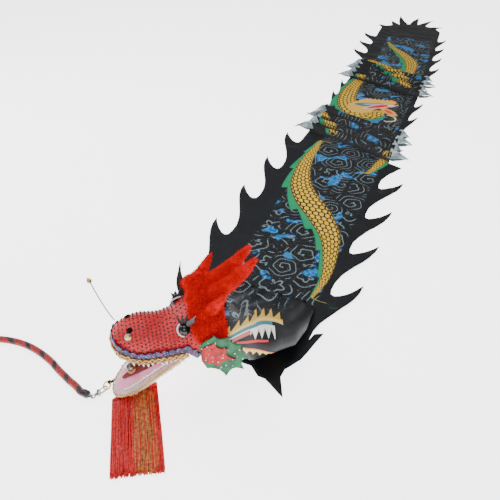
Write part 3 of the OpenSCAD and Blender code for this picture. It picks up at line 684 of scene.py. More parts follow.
# ---------------------------------------------------------------------------------------
# Head: foam covered in coral-red sequin cloth, dotted with rows of raised black beads.
# The snout is round and blunt, and the brow swells ahead of the mane.
# ---------------------------------------------------------------------------------------
def lip_z(y):
    return 174 + (26 * ((110 - y) / 75) ** 2 if y < 110 else 14 * ((min(y, 205) - 110) / 95) ** 2)


def half_width(y):
    if y < 120:
        return 65 * math.sqrt(max(0, 1 - ((120 - y) / 92) ** 2))
    return 65 + 19 * min(1, (y - 120) / 110)


def crown(y):
    if y < 100:
        return 206 + 46 * math.sqrt(max(0, 1 - ((100 - y) / 72) ** 2))
    if y < 165:
        return 252 - 8 * (1 - math.cos(math.pi * (y - 100) / 65))
    return 236 + 32 * (1 - math.cos(math.pi * min(1, (y - 165) / 110)))


def head_skin(y, turn, swell=0.0):
    """A point of the head's skin, from the station y and the turn round it, both in head terms."""
    wide, high = half_width(y) + swell, crown(y) + swell
    low = lip_z(y) if y < 205 else lip_z(205) + (110 - lip_z(205)) * min(1, (y - 205) / 60)
    rounding = min(1, max(0, (y - 200) / 60))
    middle = low + 3 + ((high - low) / 2 - 3) * rounding
    s, c = math.sin(turn), math.cos(turn)
    x = -wide * math.copysign(abs(c) ** (0.8 + 0.2 * rounding), c)
    z = middle + (high - middle) * s ** 0.85 if s >= 0 else middle + (middle - low) * s
    brow = 5.0 * math.exp(-((y - 214) / 22) ** 2 - ((abs(x) - 40) / 20) ** 2) * (z > 230)
    cheek = -3.0 * math.exp(-((y - 135) / 30) ** 2) * abs(c)
    return head_point(x * (1 + cheek / 65), y, z + brow)


def sequin_cloth(place):
    glitter = place.cells(420.0, out=1)
    painted_glint, other, _ = glitter.parts()
    base = flat(place, (0.40, 0.004, 0.008)).tint(place.noise(9, 3), (0.58, 0.012, 0.016))
    # Painted glints: the brightest cells are tinted pale pink as sparkle off the sequins.
    return {"Base_Color": base.tint(painted_glint.soft(0.78, 0.97) * 0.30, (0.85, 0.20, 0.18)).tint(
                other.soft(0.75, 0.9) * 0.5, (0.33, 0.015, 0.025)),
            "Roughness": 0.30 + 0.28 * painted_glint, "bump": (place.cells(420.0), 0.55, 0.0011)}


coral_sequins = finish_of("coral sequin cloth", sequin_cloth, Metallic=0.1, Specular_IOR_Level=0.3)
stations = [29.2] + [29 + 271 * (k / 46) ** 1.25 for k in range(1, 47)]
ring_count = 64
skin_points = [head_skin(y, 2 * math.pi * i / ring_count)
               for y in stations for i in range(ring_count)]
head_cloth = piece_from("head_sequin_cloth", skin_points, tube_faces(len(stations), ring_count),
                        coral_sequins)
belongs(head_cloth, "head", "sequin_cloth", "head_shell")


def instanced(name, points, facing, sizes, shape, finish, body, slot_name, spin_seed=None):
    """Copies of a small shape by Geometry Nodes, one on each point, each facing a direction."""
    base = bpy.data.meshes.new(name)
    base.from_pydata([tuple(p) for p in points], [], [])
    base.attributes.new("facing", "FLOAT_VECTOR", "POINT").data.foreach_set(
        "vector", np.array([tuple(f) for f in facing], np.float32).ravel())
    made = object_of(name, base)
    store(made, "size", sizes)
    single = bpy.data.objects.new(name + "_single", shape)
    tree = bpy.data.node_groups.new(name, "GeometryNodeTree")
    tree.interface.new_socket("Geometry", in_out="INPUT", socket_type="NodeSocketGeometry")
    scale_socket = tree.interface.new_socket("Piece size", in_out="INPUT",
                                             socket_type="NodeSocketFloat")
    seed_socket = tree.interface.new_socket("Spin seed", in_out="INPUT",
                                            socket_type="NodeSocketInt")
    tree.interface.new_socket("Geometry", in_out="OUTPUT", socket_type="NodeSocketGeometry")
    link = tree.links.new

    def node(kind, **settings):
        fresh = tree.nodes.new(kind)
        for key, value in settings.items():
            setattr(fresh, key, value)
        return fresh

    source, result = node("NodeGroupInput"), node("NodeGroupOutput")
    info = node("GeometryNodeObjectInfo")
    info.inputs["Object"].default_value = single
    face_to = node("GeometryNodeInputNamedAttribute", data_type="FLOAT_VECTOR")
    face_to.inputs["Name"].default_value = "facing"
    size_of = node("GeometryNodeInputNamedAttribute", data_type="FLOAT")
    size_of.inputs["Name"].default_value = "size"
    align = node("FunctionNodeAlignRotationToVector", axis="Z")
    spin = node("FunctionNodeRandomValue", data_type="FLOAT")
    spin.inputs[3].default_value = 2 * math.pi if spin_seed is not None else 0.0
    turn = node("FunctionNodeRotateRotation", rotation_space="LOCAL")
    about = node("FunctionNodeAxisAngleToRotation")
    place_all = node("GeometryNodeInstanceOnPoints")
    grow = node("ShaderNodeMath", operation="MULTIPLY")
    join, painted = node("GeometryNodeRealizeInstances"), node("GeometryNodeSetMaterial")
    painted.inputs["Material"].default_value = finish
    link(source.outputs["Spin seed"], spin.inputs["Seed"])
    link(spin.outputs[1], about.inputs["Angle"])
    link(face_to.outputs[0], align.inputs["Vector"])
    link(align.outputs[0], turn.inputs[0])
    link(about.outputs[0], turn.inputs[1])
    link(source.outputs["Geometry"], place_all.inputs["Points"])
    link(info.outputs["Geometry"], place_all.inputs["Instance"])
    link(turn.outputs[0], place_all.inputs["Rotation"])
    link(size_of.outputs[0], grow.inputs[0])
    link(source.outputs["Piece size"], grow.inputs[1])
    link(grow.outputs[0], place_all.inputs["Scale"])
    link(place_all.outputs[0], join.inputs[0])
    link(join.outputs[0], painted.inputs["Geometry"])
    link(painted.outputs[0], result.inputs[0])
    modifier = made.modifiers.new("repeat", "NODES")
    modifier.node_group = tree
    modifier[scale_socket.identifier] = 1.0
    modifier[seed_socket.identifier] = spin_seed or 0
    applied(made)
    if not made.data.materials:
        made.data.materials.append(finish)
    bpy.data.objects.remove(single)
    return belongs(made, body, slot_name)


def small_shape(name, rings, sides):
    """A turned shape from (radius, height) rings, in metres; a ring of radius 0 is a point."""
    points, starts = [], []
    for radius, height in rings:
        starts.append(len(points))
        count = sides if radius > 0 else 1
        turns = [2 * math.pi * i / sides for i in range(count)]
        points += [(radius * math.cos(a), radius * math.sin(a), height) for a in turns]
    faces = []
    for k in range(len(rings) - 1):
        a, b = starts[k], starts[k + 1]
        for i in range(sides):
            j = (i + 1) % sides
            if rings[k + 1][0] == 0:
                faces.append((a + i, a + j, b))
            elif rings[k][0] == 0:
                faces.append((a, b + j, b + i))
            else:
                faces.append((a + i, a + j, b + j, b + i))
    if rings[0][0] > 0:
        faces.append(tuple(reversed(range(sides))))
    mesh = bpy.data.meshes.new(name)
    mesh.from_pydata(points, [], faces)
    mesh.polygons.foreach_set("use_smooth", [True] * len(faces))
    return mesh


# Black beads in staggered rows over the snout and the brow.
black_bead = finish_of("black bead", lambda place: {
    "Base_Color": flat(place, (0.012, 0.008, 0.010)),
    "Roughness": 0.30 + 0.2 * place.noise(300, 1)})
BEAD_GAP, BEAD_ROW = 11.4, 9.8
bead_places, bead_facing = [], []
y, row = 40.0, 0
while y < 262:
    wide = half_width(y)
    high = crown(y) - lip_z(y)
    count = int(math.pi * (wide + high) / 2 / BEAD_GAP)
    for i in range(count):
        turn = 0.17 + (math.pi - 0.34) * (i + 0.5 * (row % 2)) / count
        here = head_skin(y, turn, 0.3)
        ahead, beside = head_skin(y + 1, turn, 0.3) - here, head_skin(y, turn + 0.02, 0.3) - here
        facing = beside.cross(ahead).normalized()
        away = here - head_point(0, y, 200)
        bead_places.append(here)
        bead_facing.append(facing if facing.dot(away) > 0 else -facing)
    y += BEAD_ROW
    row += 1
bead_shape = small_shape("bead", [(0.0022, -0.0004), (0.0021, 0.0009), (0.0012, 0.0017),
                                  (0, 0.0020)], 8)
instanced("head_black_beads", bead_places, bead_facing, [1.0] * len(bead_places), bead_shape,
          black_bead, "head", "black_plastic")

# ---------------------------------------------------------------------------------------
# Plush: the mane collar, the horns and the ears are stuffed red plush with a short pile
# that stands in soft tufts. The pile is its own fibres, grown over each stuffed form.
# ---------------------------------------------------------------------------------------
def red_plush(place):
    tuft = place.noise(34, 4)
    red = flat(place, (0.42, 0.001, 0.002)).tint(tuft.soft(0.32, 0.68), (0.78, 0.003, 0.004))
    return {"Base_Color": red, "Roughness": 0.82,
            "bump": (place.noise(260, 3) + tuft * 2, 0.7, 0.0030)}


plush_finish = finish_of("red plush", red_plush, Sheen_Weight=0.12, Sheen_Tint=(1.0, 0.05, 0.03, 1),
                         Specular_IOR_Level=0.15)
pile_finish = mottled("red plush pile", (0.52, 0.001, 0.002), (0.88, 0.005, 0.006), (60, 2), 0.8,
                      Specular_IOR_Level=0.12)


def with_subdivision(made, levels):
    divide = made.modifiers.new("soften", "SUBSURF")
    divide.levels = divide.render_levels = levels
    return applied(made)


def stuffed_from(name, node, finish, body, slot_name, lump, lump_size, levels=1, keep=None):
    """A stuffed form over a CAD solid: joined into quads, softened and made a little uneven."""
    shape = merged_copy(node, keep)
    bmesh.ops.join_triangles(shape, faces=shape.faces, angle_face_threshold=0.6,
                             angle_shape_threshold=1.2)
    made = with_subdivision(object_from(name, shape), levels)
    made.data.materials.clear()
    made.data.materials.append(finish)
    normals = [v.normal.copy() for v in made.data.vertices]
    for v, normal in zip(made.data.vertices, normals):
        v.co += normal * lump * (noise.noise(v.co * lump_size) - 0.1)
    shaded(made.data)
    return belongs(made, body, slot_name, node)


def pile_over(made, count, length, seed, body, slot_name, finish, lean=(0, 0, 0), thick=0.0010):
    """Short fibres spread evenly over a form by area, standing out and leaning one way."""
    rng = np.random.default_rng(seed)
    mesh = made.data
    mesh.calc_loop_triangles()
    corner = np.array([[mesh.vertices[i].co[:] for i in t.vertices] for t in mesh.loop_triangles])
    side = np.cross(corner[:, 1] - corner[:, 0], corner[:, 2] - corner[:, 0])
    area = np.linalg.norm(side, axis=1)
    pick = rng.choice(len(corner), count, p=area / area.sum())
    a, b = rng.random((2, count))
    over = a + b > 1
    a[over], b[over] = 1 - a[over], 1 - b[over]
    first, second, third = corner[pick, 0], corner[pick, 1], corner[pick, 2]
    at = first + a[:, None] * (second - first) + b[:, None] * (third - first)
    facing = side[pick] / area[pick][:, None] + rng.normal(0, 0.35, (count, 3)) + np.array(lean)
    shape = small_shape(made.name + "_fibre",
                        [(thick, -0.001), (thick * 0.7, length * 0.5), (0, length)], 4)
    pile = instanced(made.name + "_pile", at, facing, rng.uniform(0.6, 1.15, count), shape, finish,
                     body, slot_name, seed)
    for v in pile.data.vertices:
        v.co.z = max(v.co.z, 0.0003)  # fibres under the chin are pressed flat
    return pile


def head_direction(x, y, z):
    return np.array((head_point(x, y, z) - head_point(0, 0, 0)).normalized())


mane = stuffed_from("mane_plush", "mane_collar", plush_finish, "head", "red_plush", 0.006, 42)
brow_edge = head_point(0, 262, 236)
ahead, upright = head_direction(0, -1, 0), head_direction(0, 0, 1)
for v in mane.data.vertices:
    from_edge = np.array(v.co - brow_edge)
    forward, high = from_edge @ ahead, from_edge @ upright
    if forward > -0.012 and high > -0.015:
        v.co += Vector(ahead) * min(1, (forward + 0.012) / 0.02) * min(1, (high + 0.015) / 0.03) * (
            0.016 + 0.012 * noise.noise(v.co * 38))
pile_over(mane, 16000, 0.0125, 3, "head", "red_plush", pile_finish,
          head_direction(0, -0.35, 0.45) * 0.5, 0.0006)
for side in ("left", "right"):
    horn = stuffed_from(f"horn_{side}_plush", f"horn_{side}", plush_finish, "head", "red_plush",
                        0.003, 55)
    pile_over(horn, 5200, 0.006, 5, "head", "red_plush", pile_finish,
              head_direction(0, 0.8, 0.6) * 1.2, 0.0006)
    ear = stuffed_from(f"ear_{side}_plush", f"ear_{side}", plush_finish, "head", "red_plush",
                       0.002, 60)
    pile_over(ear, 900, 0.006, 7, "head", "red_plush", pile_finish, head_direction(0, 0.6, 0.8),
              0.0008)

# ---------------------------------------------------------------------------------------
# Neck cloth: the ribbon's satin gathered round the neck hoop, hanging in soft folds down
# to the lying ribbon, with a fanged mouth printed on each side.
# ---------------------------------------------------------------------------------------
def cowl_print(place):
    u, v = place.attribute("print_aside"), place.attribute("print_up")
    black = black_satin(place)
    colour = black.tint(v.soft(1.0, 1.12) * u.soft(1.30, 1.0),
                        cloud_print(place.vector(u * 0.158, v * 0.15, 0.3), black))
    spike = ((u * 7.0 + 0.3).frac() - 0.15).abs()
    jag = ((u * 10.0 + v * 2.0).frac() - 0.7).abs()
    inside = (u > 0.0) * (u < 1.0)
    ridge = v - (0.70 + u * 0.82 - u * u * 0.74)
    crest = inside * (ridge < (0.05 + spike * 0.16)) * (ridge > -0.03)
    stripe = (u > 0.03) * (u < 0.80) * (ridge < -0.03) * (ridge > -0.10)
    white_line = (u > 0.05) * (u < 0.84) * (ridge < -0.10) * (ridge > -0.125)
    gum = (u > 0.13) * (u < 0.80) * (ridge < -0.125) * (ridge > -0.215)
    points_down = ((u * 9.0).frac() - 0.5).abs() * 0.42 - 0.36
    tooth = (u > 0.42) * (u < 0.84) * (ridge < -0.12) * (ridge > points_down)
    taper = 0.030 + (0.5 - u).abs() * -0.02
    tongue_mark = (u > 0.20) * (u < 0.72) * ((v - (0.60 - u * 0.14)).abs() < taper)
    chin = v - (0.58 - u * 0.50)
    beard = (u > 0.30) * (u < 0.93) * (chin < 0.015) * (chin > (-0.045 - jag * 0.15))
    beard_line = (u > 0.32) * (u < 0.84) * ((chin - 0.005).abs() < 0.014)
    return {"Base_Color": over_shape((
        (crest, (0.60, 0.36, 0.05)), (crest * (ridge < 0.03), (0.72, 0.52, 0.16)),
        (stripe, (0.03, 0.20, 0.25)),
        (white_line, (0.80, 0.80, 0.76)), (gum, (0.55, 0.13, 0.12)), (tooth, (0.86, 0.86, 0.83)),
        (tongue_mark, (0.62, 0.03, 0.04)), (beard, (0.72, 0.50, 0.08)),
        (beard_line, (0.62, 0.12, 0.08))), colour),
        "Roughness": 0.42 + place.noise(12, 2) * 0.2, "bump": (place.noise(40, 4), 0.25, 0.004)}


cowl_finish = finish_of("printed neck satin", cowl_print, Specular_IOR_Level=0.22)
shape = merged_copy("neck_cowl")
bmesh.ops.join_triangles(shape, faces=shape.faces, angle_face_threshold=0.7,
                         angle_shape_threshold=1.4)
for f in [f for f in shape.faces if len(f.verts) > 8]:
    shape.faces.remove(f)
bmesh.ops.subdivide_edges(shape, edges=shape.edges, cuts=2, use_grid_fill=True)
bmesh.ops.smooth_vert(shape, verts=[v for v in shape.verts if not v.is_boundary], factor=0.5,
                      use_axis_x=True, use_axis_y=True, use_axis_z=True)
neck_mouth = head_point(0, 300, 205)
for v in shape.verts:
    away = min(1, (v.co - neck_mouth).length / 0.06)
    fold = math.sin(v.co.x * 95 + v.co.z * 30 + 3 * noise.noise(v.co * 9)) * 0.0045
    v.co += v.normal * away * (fold + 0.010 * noise.noise(v.co * 14) - 0.004)
    v.co.z = max(v.co.z, 0.0042)
cowl = object_from("neck_cloth", shape, cowl_finish)
shaded(cowl.data)
spots = np.array([v.co[:] for v in cowl.data.vertices])
aside = spots @ np.array([0.923, 0.384, 0.0]) - 0.029
upward = spots @ np.array([-0.232, 0.557, 0.798]) + 0.041
store(cowl, "print_aside", aside / 0.158 + 0.5)
store(cowl, "print_up", upward / 0.118 + 0.5)
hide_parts("neck_cowl")
thicken(cowl, CLOTH)
head_point(0, 300, 200)
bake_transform(cowl)

# ---------------------------------------------------------------------------------------
# Eyes and lashes: glossy black domes in white rims, under a fan of felt lashes and one
# long felt flame that stands up behind each eye.
# ---------------------------------------------------------------------------------------
glossy_black = mottled("glossy black eye", (0.004, 0.004, 0.005), (0.02, 0.02, 0.025), (60, 1),
                       0.10, share=0.2, Coat_Weight=0.25, Coat_Roughness=0.03,
                       Specular_IOR_Level=0.3)
white_rim = mottled("white moulded rim", (0.72, 0.72, 0.70), (0.84, 0.84, 0.83), (90, 2), 0.3)
black_felt = mottled("black felt", (0.008, 0.008, 0.009), (0.022, 0.020, 0.022), (220, 3), 0.9,
                     bump=(600, 3, 0.5, 0.001), Sheen_Weight=0.15)


def dressed(finish, *nodes):
    """CAD nodes that keep their shape and take their real finish."""
    for node in nodes:
        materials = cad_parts[node].data.materials
        materials.clear()
        materials.append(finish)


def blades(name, strokes, finish, node, body, slot_name, thickness=0.0016):
    """Flat pointed pieces of felt: each stroke is (root, tip, width, bend, flat direction)."""
    points, faces = [], []
    for root, tip, width, bend, face in strokes:
        root, tip, face = Vector(root), Vector(tip), Vector(face).normalized()
        run = tip - root
        side = run.cross(face).normalized()
        start, count = len(points), 7
        for k in range(count):
            t = k / (count - 1)
            middle = root + run * t + Vector(bend) * math.sin(math.pi * t)
            belly = 0.75 + 0.6 * math.sin(math.pi * min(1, t * 1.4))
            half = max(0.0003, width / 2 * (1 - t) ** 0.75 * belly)
            for a, b in ((-1, -1), (1, -1), (1, 1), (-1, 1)):
                points.append(middle + side * half * a + face * thickness / 2 * b)
        faces += tube_faces(count, 4, start)
    made = piece_from(name, points, faces, finish, smooth=False)
    return belongs(made, body, slot_name, node)


for side, flip in (("left", 1), ("right", -1)):
    dressed(glossy_black, f"eye_{side}")
    dressed(white_rim, f"eye_rim_{side}")
    out, back, up = (np.array(d) * (flip, 1, 1) for d in (
        (0.815, -0.234, 0.53), (0.276, 0.961, 0), (-0.509, 0.146, 0.848)))
    eye_centre = np.array([flip * 55, 205, 244])
    seen = head_direction(*(out if flip > 0 else (1, 0, 0.3)))
    strokes = []
    for k in range(8):
        turn = math.radians(-22 + k * 20)
        spread = math.cos(turn) * back + math.sin(turn) * up
        root = eye_centre + 15 * spread + 3 * out
        tip = eye_centre + (38 + 5 * (k % 2)) * spread + 15 * out
        strokes.append((head_point(*root), head_point(*tip), 0.0068,
                        head_direction(*(up + out)) * 0.003, seen))
    strokes.append((head_point(flip * 60, 221, 256), head_point(flip * 105, 229, 330), 0.021,
                    head_direction(0, -1, 0.2) * 0.005, head_direction(1, 0, 0)))
    blades(f"eyelash_{side}_felt", strokes, black_felt, f"eyelash_{side}", "head", "black_felt")
dressed(mottled("dark nostril lining", (0.002, 0.002, 0.002), (0.008, 0.006, 0.006), (80, 2), 0.85,
                share=0.5, Specular_IOR_Level=0.1), "nostrils")

# ---------------------------------------------------------------------------------------
# Lips: a band of blue and violet sequins, and under it a gold braid woven in a zigzag and
# glued along the lip. The lower lip has the same braid along a thick edge of pale plush.
# ---------------------------------------------------------------------------------------
def lip_front(out, rise):
    return [head_point(math.cos(a) * (half_width(60) + out), 60 - math.sin(a) * (26 + out),
                       lip_z(60 - 26 * math.sin(a)) + rise)
            for a in np.radians(np.arange(0, 181, 15))]


def lip_route(out, rise, back=205):
    def beside(flip, y):
        return head_point(flip * (half_width(y) + out), y, lip_z(y) + rise - max(0, y - 205) * 0.9)

    near = [beside(1, y) for y in range(back, 64, -14)]
    far = [beside(-1, y) for y in range(65, back + 1, 14)]
    return smooth_path(near + lip_front(out, rise) + far, 0.0025)


def gold_braid(place):
    thread = ((place.parts()[0] + place.parts()[2]) * 2600.0).sin()
    gold = flat(place, (0.42, 0.22, 0.045)).tint(place.noise(120, 3), (0.80, 0.56, 0.20))
    return {"Base_Color": gold, "Roughness": 0.34 + place.noise(200, 1) * 0.2,
            "bump": (thread, 0.35, 0.0008)}


braid_finish = finish_of("gold metallic braid", gold_braid, Metallic=0.75)


def zigzag_braid(name, path, reach, wave, radius, lines, node, lift=(0, 0, 1)):
    """Round cords that weave side to side along a path, as one braid."""
    _, side, over = frames_along(path, lift)
    run = run_along(path)
    points, faces, sides = [], [], 6
    for line in range(lines):
        shift = line / lines
        phase = (run / wave + shift) % 1.0
        zig = (2 * np.abs(2 * phase - 1) - 1) * reach
        weave = np.cos(2 * math.pi * (run / wave * 2 + shift)) * radius * 0.5
        cord = path + over * zig[:, None] + side * weave[:, None]
        _, cs, co = frames_along(cord, lift)
        start = len(points)
        for k in range(len(cord)):
            for i in range(sides):
                a = 2 * math.pi * i / sides
                points.append(cord[k] + radius * (math.cos(a) * cs[k] + math.sin(a) * co[k]))
        faces += tube_faces(len(cord), sides, start)
    belongs(piece_from(name, points, faces, braid_finish), "head", "gold_braid", node)


zigzag_braid("upper_lip_braid", lip_route(8.2, 2), reach=0.0066, wave=0.030, radius=0.0017, lines=2,
             node="upper_lip_trim")


def zigzag_strip(name, path, finish, low, high, tooth, wave, thick, node, slot_name, both=False):
    """A flat band along a path, with one edge or both cut into points."""
    _, side, over = frames_along(path)
    step = float(np.linalg.norm(path[1] - path[0]))
    points = []
    for k, spot in enumerate(path):
        share = abs((k * step / wave) % 1.0 - 0.5) * 2
        bottom = low - (tooth * share if both else 0)
        top = high + tooth * share
        for up, out in ((bottom, 0.0), (bottom, thick), ((low + high) / 2, thick * 1.15),
                        (top, thick * 0.6), (top, 0.0)):
            points.append(spot + over[k] * up - side[k] * out)
    made = piece_from(name, points, tube_faces(len(path), 5), finish, smooth=False)
    belongs(made, "head", slot_name, node)


bronze_ground = mottled("bronze braid ground", (0.085, 0.026, 0.008), (0.24, 0.10, 0.025),
                        (150, 3), 0.40, edge=(0.35, 0.65), bump=(900, 1, 0.4, 0.0010),
                        Metallic=0.55)
zigzag_strip("upper_lip_ground", lip_route(4.5, 2), bronze_ground, low=-0.0075, high=0.0045,
             tooth=0.0035, wave=0.021, thick=0.0035, node="upper_lip_trim", slot_name="gold_braid",
             both=True)


def blue_sequins(place):
    spot, other, _ = place.cells(330.0, out=1).parts()
    # The lighter blue on a few cells is painted highlight, glints off the sequins.
    mixed = over_shape((
        (spot.soft(0.45, 0.6), (0.030, 0.005, 0.055)), (other.soft(0.84, 0.94), (0.10, 0.22, 0.48)),
        (spot.soft(0.88, 0.95), (0.34, 0.03, 0.09))), flat(place, (0.003, 0.009, 0.065)))
    return {"Base_Color": mixed, "Roughness": 0.3 + 0.3 * other,
            "bump": (place.cells(330.0), 0.6, 0.0014)}


sequin_finish = finish_of("blue and violet sequins", blue_sequins, Metallic=0.15, Coat_Weight=0.1)
zigzag_strip("lip_sequin_band", lip_route(1.2, 15, 233), sequin_finish, low=-0.0095, high=0.0050,
             tooth=0.0070, wave=0.019, thick=0.0040, node="sequin_band", slot_name="blue_sequins")

# ---------------------------------------------------------------------------------------
# Lower jaw: stuffed pale pink plush with a satin lining, a red velvet tongue, rows of
# white felt teeth cut as one zigzag strip, and pink satin that closes the cheek.
# ---------------------------------------------------------------------------------------
JAW_LENGTH, JAW_SLOPE, JAW_DEPTH, JAW_HEIGHT = 250, math.radians(37), 34, 168.1
JAW_TOP = 0.12 * JAW_DEPTH


def jaw_half(run):
    straight = 0.55 * JAW_LENGTH
    if run < straight:
        return 70 - 9.8 * run / straight
    return 60.2 * math.sqrt(max(0, 1 - ((run - straight) / (0.46 * JAW_LENGTH)) ** 2))


def jaw_point(x, run, up):
    """A point on the jaw: across, forward along it from the corner of the mouth, and up from it."""
    c, s = math.cos(JAW_SLOPE), math.sin(JAW_SLOPE)
    return head_point(x, 207 - run * c - up * s, JAW_HEIGHT - run * s + up * c)


jaw_plush = finish_of("pale pink plush", lambda place: {
    "Base_Color": over_shape((
        (place.noise(26, 3).soft(0.35, 0.65), (0.86, 0.70, 0.68)),
        (place.noise(90, 2) * 0.3, (0.62, 0.22, 0.28))), flat(place, (0.74, 0.42, 0.46))),
    "Roughness": 0.85, "bump": (place.noise(300, 3), 0.6, 0.0025)}, Sheen_Weight=0.4)
pink_pile = mottled("pale pink pile", (0.84, 0.62, 0.62), (0.92, 0.84, 0.81), (50, 2), 0.8,
                    Sheen_Weight=0.4)
jaw = stuffed_from("lower_jaw_plush", "lower_jaw", jaw_plush, "head", "pink_plush", 0.0015, 70)
pile_over(jaw, 5200, 0.0055, 9, "head", "pink_plush", pink_pile, head_direction(0, -0.5, 0.2),
          0.0008)
satin_pink = mottled("pink satin", (0.80, 0.20, 0.38), (0.84, 0.32, 0.50), (16, 3),
                     (0.36, 0.15, 30, 2), bump=(60, 4, 0.5, 0.004), Sheen_Weight=0.2)
cream_satin = mottled("cream satin", (0.82, 0.70, 0.60), (0.84, 0.52, 0.56), (18, 3), 0.42,
                      edge=(0.4, 0.7), bump=(60, 4, 0.4, 0.003), Sheen_Weight=0.2)
stuffed_from("jaw_lining_satin", "jaw_lining", satin_pink, "head", "pink_lining", 0.0012, 80, 2)
stuffed_from("palate_satin", "palate_lining", cream_satin, "head", "pink_lining", 0.0010, 60, 2)
stuffed_from("cheek_web_satin", "mouth_web", satin_pink, "head", "pink_lining", 0.0020, 40, 2)

velvet = mottled("dark red velvet", (0.055, 0.0005, 0.001), (0.18, 0.002, 0.004), (22, 3), 0.7,
                 edge=(0.35, 0.7), bump=(240, 3, 0.4, 0.0015), Sheen_Weight=0.15,
                 Sheen_Tint=(1, 0.2, 0.2, 1))
TONGUE_BASE = JAW_TOP + 5.6
tongue_points, tongue_faces, across_count = [], [], 13
for k in range(25):
    run = 40 + 164 * k / 24
    half = 1.5 + 37 * (1 - (k / 24) ** 1.7) * (0.8 + 0.2 * min(1, (run - 40) / 30))
    for i in range(across_count):
        u = -1 + 2 * i / (across_count - 1)
        crease = 2.6 * math.exp(-(u / 0.16) ** 2)
        curl = 3.2 * (run - 40) / 164
        above = 5.2 * (1 - u ** 4) - crease + curl * (1 - u * u)
        tongue_points.append(jaw_point(u * half, run, TONGUE_BASE + above))
    for i in range(across_count):
        u = -1 + 2 * i / (across_count - 1)
        tongue_points.append(jaw_point(u * half, run, TONGUE_BASE))
row = 2 * across_count
for k in range(24):
    a, b = k * row, k * row + across_count
    for i in range(across_count - 1):
        tongue_faces.append((a + i, a + i + 1, a + row + i + 1, a + row + i))
        tongue_faces.append((b + i + 1, b + i, b + row + i, b + row + i + 1))
    tongue_faces += [(a, a + row, b + row, b), (b - 1, a + row - 1, a + 2 * row - 1, b + row - 1)]
for a in (0, 24 * row):
    b = a + across_count
    tongue_faces += [(a + i, a + i + 1, b + i + 1, b + i) for i in range(across_count - 1)]
tongue = with_subdivision(piece_from("tongue_velvet", tongue_points, tongue_faces, velvet), 1)
belongs(tongue, "head", "tongue_cloth", "tongue")

tooth_felt = mottled("white felt", (0.70, 0.67, 0.60), (0.86, 0.84, 0.79), (160, 3), 0.9,
                     bump=(700, 2, 0.4, 0.001), Sheen_Weight=0.2)
tooth_points, tooth_faces = [], []


def tooth_row(place_at, start, stop, count, tall, thick):
    """One cut strip: a point for each tooth, place_at(run, up, depth) puts it on the jaw."""
    for k in range(count):
        a = start + (stop - start) * k / count
        b = start + (stop - start) * (k + 1) / count
        base = len(tooth_points)
        reach = tall * (0.75 + 0.45 * abs(math.sin(k * 2.3 + 1)))
        for depth in (0, thick):
            tooth_points.extend([
                place_at(a, 0, depth), place_at(b, 0, depth), place_at(b, 2, depth),
                place_at((a + b) / 2 + 2, reach, depth * 0.5), place_at(a, 2, depth)])
        tooth_faces.extend(tube_faces(2, 5, base))


for flip in (1, -1):
    tooth_row(lambda run, up, depth: jaw_point(flip * (jaw_half(run) - 9 - depth), run,
                                               JAW_TOP + 5.8 + up),
              start=62, stop=204, count=15, tall=7, thick=2.4)
    tooth_row(lambda run, up, depth: head_point(flip * (half_width(run) + 1 - depth), run,
                                                lip_z(run) - 4.4 - up),
              start=66, stop=190, count=11, tall=19, thick=2.4)
teeth = piece_from("teeth_felt", tooth_points, tooth_faces, tooth_felt, smooth=False)
belongs(teeth, "head", "white_felt", "teeth")
dressed(tooth_felt, "fangs")
jaw_edge = [(jaw_half(s) + 2.6, s) for s in np.linspace(4, 0.975 * JAW_LENGTH, 13)]
jaw_edge_path = smooth_path([jaw_point(x, s, 1.5) for x, s in jaw_edge]
                            + [jaw_point(0, JAW_LENGTH + 1, 1.5)]
                            + [jaw_point(-x, s, 1.5) for x, s in reversed(jaw_edge)], 0.0025)
zigzag_braid("lower_lip_braid", jaw_edge_path, reach=0.0028, wave=0.015, radius=0.0014, lines=3,
             node="lower_lip_trim")

# ---------------------------------------------------------------------------------------
# Pearl: a silvery bead that turns in a gold ring on the tongue. The whiskers are sprung
# wires, each ending in a gold bud.
# ---------------------------------------------------------------------------------------
dressed(finish_of("silver pearl", lambda place: {
    "Base_Color": flat(place, (0.50, 0.50, 0.48)).tint(place.cells(95.0).soft(0.30, 0.45),
                                                       (0.12, 0.10, 0.08)),
    "Roughness": 0.16, "bump": (place.cells(120.0), 0.3, 0.001)},
    Metallic=0.6, Coat_Weight=0.6), "pearl")
dressed(mottled("polished gold", (0.62, 0.40, 0.12), (0.80, 0.57, 0.22), (200, 2),
                (0.22, 0.15, 90, 2), Metallic=1.0),
        "pearl_ring", "chin_ring", "chin_rivet", "end_ferrule")
dressed(mottled("blued wire", (0.035, 0.045, 0.062), (0.08, 0.09, 0.11), (150, 2), 0.35,
                Metallic=0.7),
        "whisker_left", "whisker_right")
dressed(mottled("olive gold bud", (0.22, 0.16, 0.05), (0.62, 0.47, 0.16), (120, 2), 0.3,
                edge=(0.4, 0.65), Metallic=0.6, Coat_Weight=0.3),
        "whisker_bud_left", "whisker_bud_right")

# ---------------------------------------------------------------------------------------
# Cheek fins: green felt cut into flames, with a red sequin flame sewn on each and small
# white sequins scattered over both.
# ---------------------------------------------------------------------------------------
def felt_with_sequins(deep, bright):
    def paint(place):
        dot = place.cells(92.0)
        speck = dot.soft(0.17, 0.13)
        felt = flat(place, deep).tint(place.noise(60, 3).soft(0.35, 0.65), bright)
        return {"Base_Color": felt.tint(speck, (0.88, 0.86, 0.80)), "Roughness": 0.72 - speck * 0.5,
                "bump": (place.noise(420, 2) + speck * 2, 0.5, 0.0012)}
    return paint


green_felt = finish_of("green felt with sequins",
                       felt_with_sequins((0.001, 0.055, 0.018), (0.003, 0.13, 0.045)))
red_sequin_felt = finish_of("red sequin cloth",
                            felt_with_sequins((0.20, 0.0005, 0.002), (0.46, 0.001, 0.004)))
for side in ("left", "right"):
    dressed(green_felt, f"cheek_fin_{side}")
    dressed(red_sequin_felt, f"cheek_flame_{side}")

